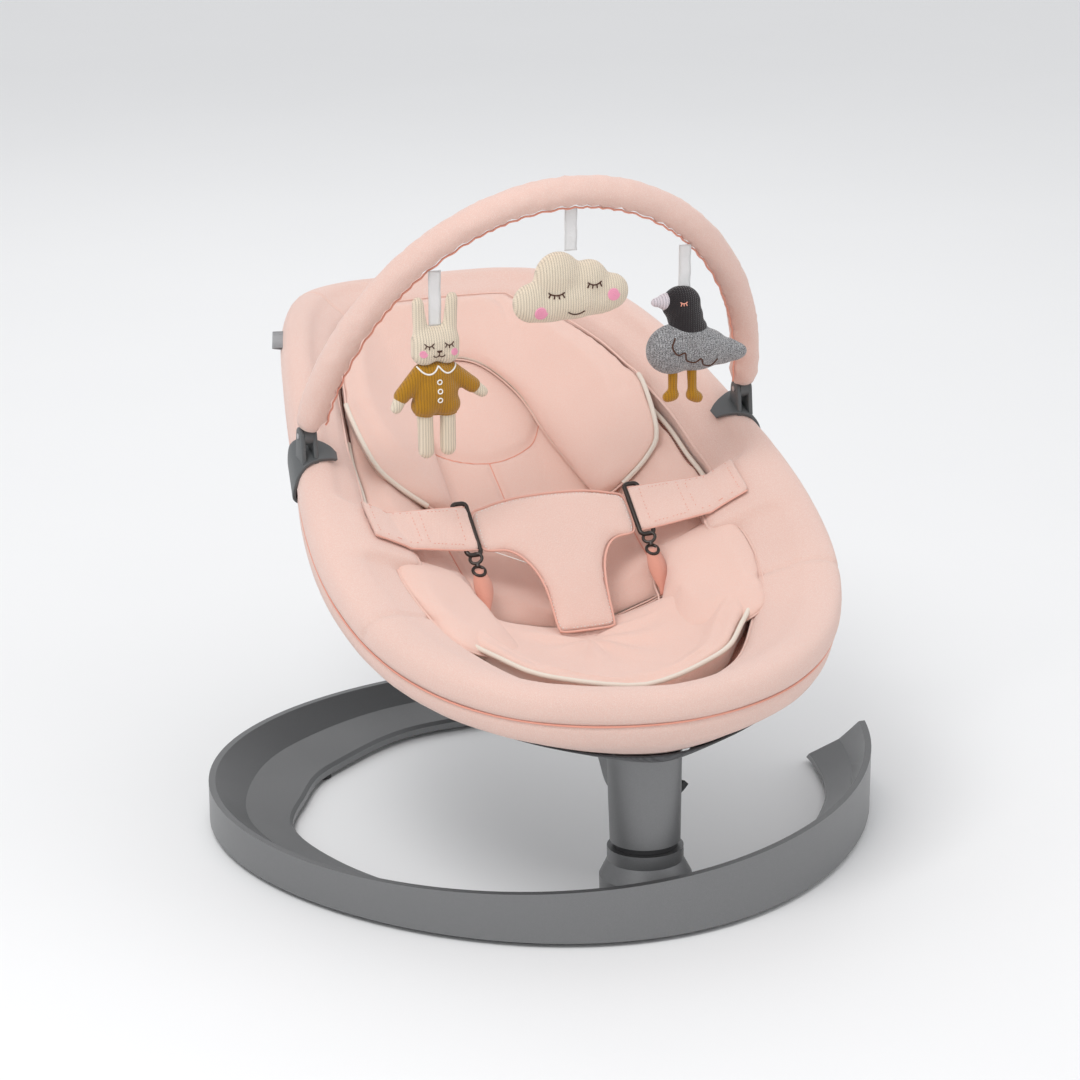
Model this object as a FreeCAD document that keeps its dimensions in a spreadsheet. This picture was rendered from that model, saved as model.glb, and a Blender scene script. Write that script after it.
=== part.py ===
import math
import os

import FreeCAD
import Part
import Sketcher

# A baby swing: an open ring base, a short leaning post that turns in it, and a
# padded seat that tilts on the post and carries a toy bar with three soft toys.
# Units are millimetres. +X is the baby's left, +Y is towards the head of the
# seat and +Z is up. The origin is on the floor under the middle of the seat.

V = FreeCAD.Vector
doc = FreeCAD.newDocument("baby_swing")
sheet = doc.addObject("Spreadsheet::Sheet", "Sizes")

SIZES = [
    # ring base
    ("ring_half_width", 306), ("ring_half_depth", 283), ("ring_egg", 42),
    ("ring_centre_y", -50), ("ring_wall", 7), ("ring_rim", 6), ("ring_lip", 6),
    ("ring_back_height", 40), ("ring_front_height", 61), ("ring_start_angle", 75),
    ("ring_end_angle", 370), ("tip_slant", 67), ("foot_height", 4), ("foot_radius", 9),
    ("foot_inset", 9),
    # turning joint between base and post
    ("post_lean", 3), ("post_y", -272), ("hub_radius", 33), ("hub_height", 62),
    ("hub_flare", 7), ("hub_pocket_radius", 24), ("hub_pocket_depth", 16),
    ("shaft_radius", 10), ("shaft_top", 126), ("shaft_collar", 14),
    ("running_gap", 0.05), ("seam_height", 5), ("seam_inset", 2.5), ("part_gap", 0.5),
    ("nut_radius", 15), ("nut_height", 7), ("cover_thickness", 3),
    ("bush_wall", 5), ("bush_length", 16), ("bush_gap", 0.1),
    # post
    ("post_bottom_radius", 30.5), ("post_top_radius", 33), ("post_top", 151),
    ("head_rear", 76), ("head_half_width", 29), ("head_top", 159),
    ("lug_half_width", 14), ("lug_radius", 14), ("lug_gap", 0.4),
    ("recline_pin_radius", 5), ("recline_back", 44), ("recline_height", 146),
    ("pin_cap_radius", 8), ("pin_cap_height", 3),
    # swing lock
    ("lever_height", 92), ("lever_turn", 35), ("lever_pin_reach", 25), ("lever_thickness", 7),
    ("lever_width", 12), ("lever_length", 58), ("lever_rise", 8), ("lever_pin_radius", 2),
    ("plunger_radius", 3), ("plunger_reach", 22), ("plunger_stroke", 1.2),
    ("lever_gap", 0.5),
    # recline lock
    ("button_radius", 6), ("button_travel", 3), ("bolt_width", 12), ("bolt_thickness", 4),
    # seat frame and pan
    ("seat_half_width", 221.7), ("seat_half_length", 345), ("foot_taper", -0.379), ("head_taper", -0.31),
    ("head_squareness", 4), ("foot_squareness", 1.866), ("seat_middle_height", 330.8),
    ("seat_slope", 155.4), ("seat_bend", -18.9), ("seat_curl", -61.9),
    ("frame_tube_radius", 10), ("frame_tube_inset", 18), ("frame_tube_drop", 12),
    ("tube_pad_gap", 0.6), ("skirt_drop", 21), ("skirt_inset", 14), ("pan_y", -170), ("pan_half_width", 62), ("pan_half_length", 70),
    ("pan_bottom", 168), ("pan_thickness", 6), ("pan_screw_radius", 4), ("arm_radius", 5),
    ("sling_thickness", 4), ("bowl_power", 2.0), ("mesh_thickness", 3), ("mesh_power", 2.4),
    ("mesh_hole_half_width", 46), ("mesh_hole_half_length", 66), ("mesh_height", 155),
    # insert and harness
    ("soft_gap", 2), ("insert_thickness", 20), ("insert_margin", 9), ("pillow_thickness", 20),
    ("bolster_thickness", 20), ("strap_width", 46), ("strap_thickness", 5),
    ("buckle_bar", 2.2), ("buckle_width", 13), ("pad_thickness", 8), ("harness_tilt", 38),
    # toy bar and toys
    ("clip_y", 25), ("clip_half_length", 20), ("strap_rise", 14), ("tag_angle", 144),
    ("bar_half_width", 210),
    ("bar_height", 270), ("bar_lean", 24.6), ("bar_base", 349), ("bar_pivot_height", 22),
    ("bar_core_radius", 5), ("bar_sleeve_radius", 14), ("bar_tongue_radius", 9),
    ("bar_tongue_thickness", 8), ("ear_thickness", 4), ("bar_pin_radius", 2.5),
    ("ribbon_width", 11), ("ribbon_thickness", 1.2), ("ribbon_gap", 1), ("toy_gap", 2.4), ("toy_depth", 30),
]
for row, (alias, value) in enumerate(SIZES, start=1):
    sheet.set("A%d" % row, alias)
    sheet.set("B%d" % row, str(value))
    sheet.setAlias("B%d" % row, alias)
doc.recompute()


def size(alias):
    """One driving size, read back from the sheet."""
    return float(sheet.get(alias))


pieces = []


def finish_piece(piece, label):
    """Name a finished sub-part and put it on the list that is written out."""
    piece.Label = label
    pieces.append(piece)
    return piece


def formed(label, shape, place=None):
    """A sub-part whose form comes from Part functions and the sheet's sizes."""
    piece = doc.addObject("Part::Feature", label + "_form")
    piece.Shape = shape
    if place is not None:
        piece.Placement = place
    return finish_piece(piece, label)


def primitive(kind, name, place, **sizes):
    """A Part primitive with each size bound to the sheet."""
    solid = doc.addObject("Part::" + kind, name)
    solid.Placement = place
    for prop, expression in sizes.items():
        solid.setExpression(prop, expression)
    return solid


def boolean(kind, name, base, tool):
    """A cut, fuse or common of two objects."""
    result = doc.addObject("Part::" + kind, name)
    result.Base = base
    result.Tool = tool
    return result


def vertical_disc(label, place, radius, height, bore=None):
    """A round piece on the given place, with a bore if it has one."""
    outer = primitive("Cylinder", label + "_outer", place, Radius=radius, Height=height)
    if bore is None:
        return finish_piece(outer, label)
    inner = primitive("Cylinder", label + "_bore", place, Radius=bore, Height=height)
    return finish_piece(boolean("Cut", label + "_cut", outer, inner), label)


def blend_value(stations, x):
    """Smoothly blended value at x from a few (x, value) stations."""
    if x <= stations[0][0]:
        return stations[0][1]
    for (x0, v0), (x1, v1) in zip(stations, stations[1:]):
        if x <= x1:
            f = (x - x0) / (x1 - x0)
            return v0 + (v1 - v0) * f * f * (3 - 2 * f)
    return stations[-1][1]


# ---------------------------------------------------------------- places

lean = size("post_lean")
post_axis = V(0, math.sin(math.radians(lean)), math.cos(math.radians(lean)))
post_turn = FreeCAD.Rotation(V(1, 0, 0), -lean)


def on_post(height, turn=0):
    """A place on the post's leaning axis, at a height along it."""
    spin = FreeCAD.Rotation(V(0, 0, 1), turn)
    return FreeCAD.Placement(V(0, size("post_y"), 0) + post_axis * height, post_turn.multiply(spin))


# ---------------------------------------------------------------- ring base

BAND_WIDTH = [(75, 58), (100, 62), (126, 80), (150, 86), (180, 67), (225, 58), (270, 50),
              (328, 44), (346, 40), (354, 40), (370, 40)]


def ring_edge(angle):
    """Outer edge of the ring in plan: an oval that is fuller at the back."""
    c = math.cos(math.radians(angle))
    s = math.sin(math.radians(angle))
    x = (size("ring_half_width") + size("ring_egg") * s) * c
    return V(x, size("ring_centre_y") + size("ring_half_depth") * s, 0)


def ring_section(angle):
    """Cross-section of the ring: an upright outer wall with a sloping inner flange."""
    edge = ring_edge(angle)
    along = (ring_edge(angle + 0.5) - ring_edge(angle - 0.5)).normalize()
    inward = V(-along.y, along.x, 0)
    band = blend_value(BAND_WIDTH, angle)
    top = blend_value([(195, size("ring_back_height")), (305, size("ring_front_height"))], angle)
    floor = size("foot_height")
    wall = size("ring_wall")
    lip = size("ring_lip")
    drop = top - floor
    outline = [(0, floor), (0, top), (size("ring_rim"), top),
               (0.42 * band, floor + lip + 0.42 * (drop - lip)),
               (band - 3, floor + lip + 3), (band, floor + lip), (band, floor),
               (band - 6, floor), (0.42 * band, floor + 0.36 * (drop - lip)),
               (wall + 2, floor + 0.62 * drop), (wall, floor)]
    corners = [edge + inward * d + V(0, 0, h) for d, h in outline]
    return Part.makePolygon(corners + [corners[0]])


def ring_shape():
    """The open ring with a slanted tip at its right end, and the hub on its front."""
    first = size("ring_start_angle")
    last = size("ring_end_angle")
    steps = 30
    wires = [ring_section(first + (last - first) * i / steps) for i in range(steps + 1)]
    ring = Part.makeLoft(wires, True, False)
    reach = size("ring_half_width") * 2
    tip_top = size("ring_front_height") + 1
    tip_y = size("ring_centre_y") - 30
    corners = [V(0, tip_y, tip_top), V(0, tip_y + size("tip_slant"), 0), V(0, reach, 0),
               V(0, reach, tip_top), V(0, tip_y, tip_top)]
    wedge = Part.Face(Part.makePolygon(corners)).extrude(V(reach, 0, 0))
    ring = ring.cut(wedge.common(Part.makeBox(reach, reach, tip_top, V(size("ring_half_width") * 0.8,
                                                                      tip_y - 5, 0))))
    radius = size("hub_radius")
    height = size("hub_height")
    flare = size("hub_flare")
    hub = Part.makeCylinder(radius, height + 20, V(0, 0, -20))
    hub = hub.fuse(Part.makeCone(radius + flare, radius, flare * 2, V(0, 0, height - 12 - flare * 2)))
    hub = hub.fuse(Part.makeCylinder(radius + flare, height - 12 - flare * 2 + 20, V(0, 0, -20)))
    hub.Placement = on_post(0)
    hub = hub.common(Part.makeBox(200, 200, 200, V(-100, size("post_y") - 100, size("foot_height"))))
    body = ring.fuse(hub).removeSplitter()
    pocket = Part.makeCylinder(size("hub_pocket_radius"), size("hub_pocket_depth") + 20, V(0, 0, -20))
    bore = Part.makeCylinder(size("shaft_radius") + size("running_gap"), height + 20)
    for tool in (pocket, bore):
        tool.Placement = on_post(0)
        body = body.cut(tool)
    return body


formed("base_ring", ring_shape())

FOOT_ANGLES = (85, 130, 180, 232, 308, 345)


def base_feet():
    """Rubber pads under the ring's lip and wall."""
    feet = []
    radius = size("foot_radius")
    for angle in FOOT_ANGLES:
        along = (ring_edge(angle + 0.5) - ring_edge(angle - 0.5)).normalize()
        inward = V(-along.y, along.x, 0)
        spot = ring_edge(angle) + inward * (blend_value(BAND_WIDTH, angle) - size("foot_inset"))
        feet.append(Part.makeCylinder(radius, size("foot_height") - 0.1, spot))
    return Part.makeCompound(feet)


formed("base_feet", base_feet())

vertical_disc("pivot_shaft_nut", on_post(size("hub_pocket_depth") - size("nut_height") - 0.1),
              "Sizes.nut_radius", "Sizes.nut_height", "Sizes.shaft_radius + Sizes.running_gap")
vertical_disc("hub_cover_plate", FreeCAD.Placement(V(0, size("post_y"), 1), FreeCAD.Rotation()),
              "Sizes.hub_pocket_radius - Sizes.part_gap * 4", "Sizes.cover_thickness")


def pivot_shaft():
    """Steel shaft with a collar that stands on the hub, turned as one piece."""
    body = doc.addObject("PartDesign::Body", "pivot_shaft_body")
    sketch = body.newObject("Sketcher::SketchObject", "pivot_shaft_profile")
    plane = [f for f in body.Origin.OriginFeatures if f.Role == "XZ_Plane"][0]
    sketch.AttachmentSupport = [(plane, "")]
    sketch.MapMode = "FlatFace"
    low = size("hub_pocket_depth") - size("nut_height") - 2
    collar_low = size("hub_height") + 0.1
    collar_high = size("hub_height") + size("seam_height") + 1
    outline = [(0, low), (size("shaft_radius"), low), (size("shaft_radius"), collar_low),
               (size("shaft_collar"), collar_low), (size("shaft_collar"), collar_high),
               (size("shaft_radius"), collar_high), (size("shaft_radius"), size("shaft_top")),
               (0, size("shaft_top"))]
    for i, (x, y) in enumerate(outline):
        nx, ny = outline[(i + 1) % len(outline)]
        sketch.addGeometry(Part.LineSegment(V(x, y, 0), V(nx, ny, 0)), False)
    count = len(outline)
    for i in range(count):
        sketch.addConstraint(Sketcher.Constraint("Coincident", i, 2, (i + 1) % count, 1))
    for i, upright in enumerate((False, True, False, True, False, True, False, True)):
        sketch.addConstraint(Sketcher.Constraint("Vertical" if upright else "Horizontal", i))
    sketch.addConstraint(Sketcher.Constraint("PointOnObject", 0, 1, -2))
    rules = (("DistanceX", 1, 1, "Sizes.shaft_radius"), ("DistanceX", 3, 1, "Sizes.shaft_collar"),
             ("DistanceX", 5, 1, "Sizes.shaft_radius"),
             ("DistanceY", 0, 1, "Sizes.hub_pocket_depth - Sizes.nut_height - 2"),
             ("DistanceY", 2, 1, "Sizes.hub_height + 0.1"),
             ("DistanceY", 4, 1, "Sizes.hub_height + Sizes.seam_height + 1"),
             ("DistanceY", 6, 1, "Sizes.shaft_top"))
    for kind, line, point, expression in rules:
        start = outline[line]
        value = start[0] if kind == "DistanceX" else start[1]
        index = sketch.addConstraint(Sketcher.Constraint(kind, -1, 1, line, point, value))
        sketch.setExpression("Constraints[%d]" % index, expression)
    turning = body.newObject("PartDesign::Revolution", "pivot_shaft_turning")
    turning.Profile = sketch
    turning.ReferenceAxis = (sketch, ["V_Axis"])
    turning.Angle = 360
    body.Tip = turning
    body.Placement = on_post(0)
    return finish_piece(body, "pivot_shaft")


pivot_shaft()
vertical_disc("thrust_ring", on_post(size("hub_height") + 0.2),
              "Sizes.post_bottom_radius - Sizes.seam_inset", "Sizes.seam_height - 0.2",
              "Sizes.shaft_collar + Sizes.part_gap")
vertical_disc("shaft_retaining_washer", on_post(size("shaft_top") - 4),
              "Sizes.shaft_radius + Sizes.bush_wall - Sizes.part_gap", "3",
              "Sizes.shaft_radius + Sizes.running_gap * 0.5")

# ---------------------------------------------------------------- post

bush_low = size("hub_height") + size("seam_height") + 2
bush_high = size("shaft_top") - 5 - size("bush_length")
for label, height in (("lower_bush", bush_low), ("upper_bush", bush_high)):
    vertical_disc(label, on_post(height), "Sizes.shaft_radius + Sizes.bush_wall", "Sizes.bush_length",
                  "Sizes.shaft_radius + Sizes.running_gap")

recline_centre = V(0, size("post_y") + size("recline_back"), size("recline_height"))


def x_cylinder(radius, x_low, x_high, centre):
    """A round bar along X through a centre."""
    return Part.makeCylinder(radius, x_high - x_low, V(x_low, centre.y, centre.z), V(1, 0, 0))


def lever_frame():
    """A place at the lock lever's pin: X points outwards, Z up the post."""
    return on_post(size("lever_height"), size("lever_turn"))


def lever_pocket():
    """The slot in the post's wall that the lever and plunger work in."""
    gap = size("lever_gap")
    inner = size("shaft_radius") + size("bush_wall") + 2.5
    half = size("lever_width") / 2 + gap
    low = -size("lever_thickness") / 2 - 4
    high = size("lever_thickness") / 2 + 13
    slot = Part.makeBox(40, 2 * half, high - low, V(inner, -half, low))
    drop = size("lever_height") - size("hub_height") - size("seam_height")
    well = Part.makeCylinder(size("plunger_radius") + 0.1, drop + 2, V(size("plunger_reach"), 0, -drop - 1))
    return slot.fuse(well)


def post_shape():
    """The post: a round column that widens into a head behind, with a fork for the seat's lug."""
    start = size("hub_height") + size("seam_height") + size("part_gap")
    column = Part.makeCone(size("post_bottom_radius"), size("post_top_radius"), 110, V(0, 0, start))
    column.Placement = on_post(0)
    far = 400
    column = column.cut(Part.makeBox(far, far, far, V(-far / 2, size("post_y") - far / 2, size("post_top"))))
    front = size("post_y") + 2
    rear = size("post_y") + size("head_rear")
    top = size("head_top")
    under = [V(0, front, 118), V(0, front + 28, 120), V(0, front + 42, 134), V(0, rear - 14, 141)]
    s_curve = Part.BSplineCurve()
    s_curve.interpolate(under + [V(0, rear, top - 6)])
    edges = [s_curve.toShape(), Part.makeLine(V(0, rear, top - 6), V(0, rear, top)),
             Part.makeLine(V(0, rear, top), V(0, front + 14, top)),
             Part.makeLine(V(0, front + 14, top), V(0, front, top - 8)),
             Part.makeLine(V(0, front, top - 8), under[0])]
    half = size("head_half_width")
    head = Part.Face(Part.Wire(edges)).extrude(V(2 * half, 0, 0))
    head.translate(V(-half, 0, 0))
    rounding = Part.makeCylinder(half, 200, V(0, rear - half, 0))
    rounding = rounding.fuse(Part.makeBox(2 * half, 80, 200, V(-half, rear - half - 80, 0)))
    head = head.common(rounding)
    post = column.fuse(head)
    gap = size("lug_gap")
    fork_half = size("lug_half_width") + gap
    fork_front = recline_centre.y - size("lug_radius") - 4
    fork = Part.makeBox(2 * fork_half, size("lug_radius") * 2 + 6, 100,
                        V(-fork_half, fork_front, recline_centre.z - size("lug_radius") - 3))
    bore = Part.makeCylinder(size("shaft_radius") + size("bush_wall") + size("bush_gap"),
                             size("shaft_top") + 2 - start + 1, V(0, 0, start - 1))
    bore.Placement = on_post(0)
    pocket = lever_pocket()
    pocket.Placement = lever_frame()
    pin = Part.makeCylinder(size("lever_pin_radius") + 0.05, 40, V(size("lever_pin_reach"), -20, 0), V(0, 1, 0))
    pin.Placement = lever_frame()
    cross = x_cylinder(size("recline_pin_radius") + size("running_gap"), -half - 10, half + 10, recline_centre)
    for tool in (fork, bore, pocket, pin, cross, bolt_tunnel()):
        post = post.cut(tool)
    return post


def bolt_place():
    """Middle of the recline bolt and button, behind the seat's lug."""
    gap = 1.4
    return V(0, recline_centre.y + size("lug_radius") + gap, recline_centre.z + 2)


def bolt_tunnel():
    """The hollow in the head behind the fork for the recline bolt and its button."""
    spot = bolt_place()
    half = size("bolt_width") / 2 + 0.3
    tunnel = Part.makeBox(2 * half, 15.5, 14, V(-half, spot.y - 4, spot.z - 3))
    well = Part.makeCylinder(size("button_radius") + 0.1, 40, V(0, spot.y + 7, spot.z - 30))
    return tunnel.fuse(well.common(Part.makeBox(40, 40, 60, V(-20, spot.y - 0.5, spot.z - 40))))


formed("post_shell", post_shape())

formed("recline_pin", x_cylinder(size("recline_pin_radius"), -size("head_half_width") - 1,
                                 size("head_half_width") + 1, recline_centre))
cap_gap = size("head_half_width") + 0.2
formed("recline_pin_caps", Part.makeCompound([
    x_cylinder(size("pin_cap_radius"), cap_gap, cap_gap + size("pin_cap_height"), recline_centre)
    .cut(x_cylinder(size("recline_pin_radius") + 0.1, cap_gap - 1, cap_gap + 1.5, recline_centre)),
    x_cylinder(size("pin_cap_radius"), -cap_gap - size("pin_cap_height"), -cap_gap, recline_centre)
    .cut(x_cylinder(size("recline_pin_radius") + 0.1, -cap_gap - 1.5, -cap_gap + 1, recline_centre))]))

pin_half = size("post_bottom_radius") * 0.55
lever_pin = Part.makeCylinder(size("lever_pin_radius"), 2 * pin_half,
                              V(size("lever_pin_reach"), -pin_half, 0), V(0, 1, 0))
formed("lever_pin", lever_pin, lever_frame())


def lock_lever():
    """The black lever: a tapering bar that rises slightly outwards from its pin."""
    inner = size("plunger_reach") - 2
    reach = size("lever_pin_reach")
    length = size("lever_length")
    half_thick = size("lever_thickness") / 2
    rise = (length - reach) * math.tan(math.radians(size("lever_rise")))
    side = [(inner, -half_thick + 1), (reach + 6, -half_thick), (length - 4, rise - 1), (length + 3, rise + 2),
            (length - 3, rise + 7), (reach + 6, half_thick + 1), (inner, half_thick)]
    corners = [V(x, 0, z) for x, z in side]
    bar = Part.Face(Part.makePolygon(corners + [corners[0]])).extrude(V(0, size("lever_width"), 0))
    bar.translate(V(0, -size("lever_width") / 2, 0))
    return bar.cut(Part.makeCylinder(size("lever_pin_radius") + size("running_gap"), 40,
                                     V(reach, -20, 0), V(0, 1, 0)))


formed("lock_lever", lock_lever(), lever_frame())

plunger_top = -size("lever_thickness") / 2 + 1 - 0.6
plunger_foot = -(size("lever_height") - size("hub_height") - size("seam_height")) + size("plunger_stroke") + 0.3
plunger = primitive("Cylinder", "brake_plunger_rod", FreeCAD.Placement(
    lever_frame().multVec(V(size("plunger_reach"), 0, plunger_foot)), lever_frame().Rotation),
    Radius="Sizes.plunger_radius")
plunger.setExpression("Height", "Sizes.lever_height - Sizes.hub_height - Sizes.seam_height"
                      " - Sizes.plunger_stroke - 0.3 - Sizes.lever_thickness / 2 + 0.4")
finish_piece(plunger, "brake_plunger")

bolt_spot = bolt_place()
formed("recline_bolt", Part.makeBox(size("bolt_width"), 7, size("bolt_thickness"),
                                    V(-size("bolt_width") / 2, bolt_spot.y, bolt_spot.z - 1)))
button_top = bolt_spot.z - 1 - size("button_travel") - 0.6
button = Part.makeCylinder(size("button_radius"), button_top - 134, V(0, bolt_spot.y + 7, 134))
button = button.common(Part.makeBox(40, 40, 60, V(-20, bolt_spot.y, 120)))
formed("recline_button", button)

# ---------------------------------------------------------------- seat rim


def rim_point(angle):
    """Outer edge of the padded rim: a tapered oval laid on a bent sheet."""
    c = math.cos(math.radians(angle))
    s = math.sin(math.radians(angle))
    power = size("head_squareness") if s > 0 else size("foot_squareness")
    taper = size("head_taper") if s > 0 else size("foot_taper")
    reach = max(0.0, 1 - abs(s) ** power) ** (1 / power)
    x = size("seat_half_width") * math.copysign(reach, c) * (1 + taper * s)
    z = size("seat_middle_height") + size("seat_slope") * s
    z += size("seat_bend") * s * s + size("seat_curl") * s ** 3
    return V(x, size("seat_half_length") * s, z)


def rim_frame(angle):
    """Edge point, inward direction and upward direction of the rim at an angle."""
    edge = rim_point(angle)
    q = edge.y / size("seat_half_length")
    rise = size("seat_slope") + 2 * size("seat_bend") * q + 3 * size("seat_curl") * q * q
    up = V(0, -rise / size("seat_half_length"), 1).normalize()
    along = (rim_point(angle + 1) - rim_point(angle - 1)).normalize()
    return edge, up.cross(along).normalize(), up


def rim_place(angle, inward, above):
    """A point beside the rim, measured inwards and upwards from its edge."""
    edge, inside, up = rim_frame(angle)
    return edge + inside * inward + up * above


def cover_width(angle):
    """Width of the padded cover, from its outer edge to its inner edge."""
    turn = (angle + 90) % 360 - 90
    return blend_value(COVER_WIDTH, turn if turn < 90 else 180 - turn)


def skirt_share(angle):
    """1 at the front, where the cover's hem hangs down before the post, 0 at the sides."""
    share = max(0.0, 1 - abs(angle % 360 - 270) / 52)
    return share * share * (3 - 2 * share)


def periodic_ring(rows):
    """A closed ring solid through a closed row of closed sections."""
    n = len(rows)
    m = len(rows[0])
    surface = Part.BSplineSurface()
    surface.buildFromPolesMultsKnots(rows, [1] * (n + 1), [1] * (m + 1), list(range(n + 1)),
                                     list(range(m + 1)), True, True, 3, 3)
    return Part.Solid(Part.Shell([surface.toShape()]))


RIM_STEPS = 40
rim_angles = [360.0 * i / RIM_STEPS for i in range(RIM_STEPS)]
COVER_WIDTH = [(-90, 58), (-65, 66), (-45, 74), (-28, 76), (-14, 72), (-6, 64), (0, 58), (12, 52), (30, 50),
               (60, 54), (90, 58)]
COVER_SECTION = [(0, -1, -9, 0), (0, 3, 5, 0), (0, 15, 9, 0), (0.45, 4, 3, 0), (0.8, 0, -8, 0), (1, 0, -18, 0),
                 (1, -4, -29, 0), (0.6, 0, -24, 0), (0.4, 0, -31, 0.8), (0, 22, -37, 1), (0, 8, -31, 0.3),
                 (0, 0, -20, 0)]


def cover_rows():
    """Sections of the padded cover: a roll over the tube and a slope inwards."""
    rows = []
    for angle in rim_angles:
        width = cover_width(angle)
        skirt = skirt_share(angle)
        rows.append([rim_place(angle, share * width + offset + skirt * hem * size("skirt_inset"),
                               above - skirt * hem * size("skirt_drop"))
                     for share, offset, above, hem in COVER_SECTION])
    return rows


def tube_rows(radius):
    """Sections of a round tube that runs inside the rim."""
    spread = radius * 3 / (2 + math.cos(math.radians(45)))
    rows = []
    for angle in rim_angles:
        section = []
        for i in range(8):
            turn = math.radians(45 * i)
            section.append(rim_place(angle, size("frame_tube_inset") - spread * math.cos(turn),
                                     -size("frame_tube_drop") + spread * math.sin(turn)))
        rows.append(section)
    return rows


tube = periodic_ring(tube_rows(size("frame_tube_radius")))
formed("seat_frame_tube", tube)
hollow = periodic_ring(tube_rows(size("frame_tube_radius") + size("tube_pad_gap")))
formed("rim_cover", periodic_ring(cover_rows()).cut(hollow))

# ---------------------------------------------------------------- bowl, pan and underside

bowl_centre = V(0, size("pan_y"), size("pan_bottom") + size("pan_thickness") + 3)


def bowl_edge(angle):
    """Top edge of the hanging bowl, just under the cover's inner edge."""
    return rim_place(angle, cover_width(angle) - 6, -34)


def bowl_point(angle, share, lift=0):
    """A point of the bowl, from its centre (share 0) to its top edge (share 1)."""
    edge = bowl_edge(angle)
    flat = bowl_centre + (edge - bowl_centre) * share
    height = bowl_centre.z + (edge.z - bowl_centre.z) * share ** size("bowl_power")
    return V(flat.x, flat.y, height + lift)


bowl_edges = [bowl_edge(2.0 * i) for i in range(180)]
bowl_bearings = [math.atan2(p.y - bowl_centre.y, p.x - bowl_centre.x) for p in bowl_edges]


def bowl_height(x, y):
    """Height of the bowl's upper surface above a point of the floor."""
    bearing = math.atan2(y - bowl_centre.y, x - bowl_centre.x)
    away = math.hypot(x - bowl_centre.x, y - bowl_centre.y)
    best = min(range(180), key=lambda i: abs((bowl_bearings[i] - bearing + math.pi) % (2 * math.pi) - math.pi))
    edge = bowl_edges[best]
    reach = math.hypot(edge.x - bowl_centre.x, edge.y - bowl_centre.y)
    share = min(away / reach, 1.0)
    return bowl_centre.z + (edge.z - bowl_centre.z) * share ** size("bowl_power")


def sling_rows():
    """Sections of the fabric bowl, from the pan's edge up to the rim."""
    rows = []
    thick = size("sling_thickness")
    shares = (0.36, 0.5, 0.65, 0.8, 0.92, 1.0)
    for angle in rim_angles:
        upper = [bowl_point(angle, share) for share in shares]
        lower = [bowl_point(angle, share, -thick) for share in reversed(shares)]
        rows.append(upper + lower)
    return rows


formed("seat_sling", periodic_ring(sling_rows()))


def mesh_rows():
    """Sections of the mesh panel under the seat, round the hole for the post's head."""
    rows = []
    thick = size("mesh_thickness")
    middle = recline_centre.y - 15
    for angle in rim_angles:
        skirt = skirt_share(angle)
        outer = rim_place(angle, 10 + skirt * size("skirt_inset"), -41 - skirt * size("skirt_drop"))
        hole = V(size("mesh_hole_half_width") * math.cos(math.radians(angle)),
                 middle + size("mesh_hole_half_length") * math.sin(math.radians(angle)), size("mesh_height"))
        upper = []
        lower = []
        for share in (0, 0.2, 0.4, 0.6, 0.8, 1):
            flat = hole + (outer - hole) * share
            height = hole.z + (outer.z - hole.z) * share ** size("mesh_power")
            upper.append(V(flat.x, flat.y, height))
            lower.append(V(flat.x, flat.y, height - thick))
        rows.append(upper + lower[::-1])
    return rows


formed("underside_mesh", periodic_ring(mesh_rows()))


PAN_SCREWS = [(40, -195), (-40, -195), (40, -145), (-40, -145)]


def seat_carrier():
    """The pan that carries the seat, with a lug that turns on the recline pin."""
    base = size("pan_bottom")
    thick = size("pan_thickness")
    plate = Part.makeCylinder(size("pan_half_width"), thick, V(0, 0, base))
    stretch = FreeCAD.Matrix()
    stretch.A22 = size("pan_half_length") / size("pan_half_width")
    plate = plate.transformGeometry(stretch)
    plate.translate(V(0, size("pan_y"), 0))
    half = size("lug_half_width")
    radius = size("lug_radius")
    lug = x_cylinder(radius, -half, half, recline_centre)
    neck = Part.makeBox(2 * half, 2 * radius, base + 2 - recline_centre.z,
                        V(-half, recline_centre.y - radius, recline_centre.z))
    carrier = plate.fuse(lug).fuse(neck)
    bore = x_cylinder(size("recline_pin_radius") + size("running_gap"), -half - 1, half + 1, recline_centre)
    carrier = carrier.cut(bore)
    for x, y in PAN_SCREWS:
        carrier = carrier.cut(Part.makeCylinder(size("pan_screw_radius") + 0.3, 40, V(x, y, base - 10)))
    return carrier.removeSplitter()


formed("seat_carrier", seat_carrier())


def pan_screws():
    """Four screws with heads below the pan that hold the frame arms' feet."""
    screws = []
    base = size("pan_bottom")
    radius = size("pan_screw_radius")
    for x, y in PAN_SCREWS:
        head = Part.makeCylinder(radius * 1.6, 2.5, V(x, y, base - 2.7))
        screws.append(head.fuse(Part.makeCylinder(radius, size("pan_thickness") + 2.4, V(x, y, base - 0.3))))
    return Part.makeCompound(screws)


formed("pan_screws", pan_screws())


def frame_arms():
    """Two arms on each side that join the pan to the frame tube under the bowl."""
    arms = []
    for side in (1, -1):
        for y, angle in ((size("pan_y") - 30, -48), (size("pan_y") + 30, -14)):
            rim_angle = angle if side > 0 else 180 - angle
            share = (y - size("pan_y")) / size("pan_half_length")
            x = size("pan_half_width") * math.sqrt(1 - share * share) + size("arm_radius")
            start = V(side * x, y, size("pan_bottom") + size("pan_thickness") / 2)
            end = rim_place(rim_angle, 36, -40 - size("arm_radius"))
            run = end - start
            arms.append(Part.makeCylinder(size("arm_radius"), run.Length, start, run))
    return Part.makeCompound(arms)


formed("frame_arms", frame_arms())

# ---------------------------------------------------------------- soft insert


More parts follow.
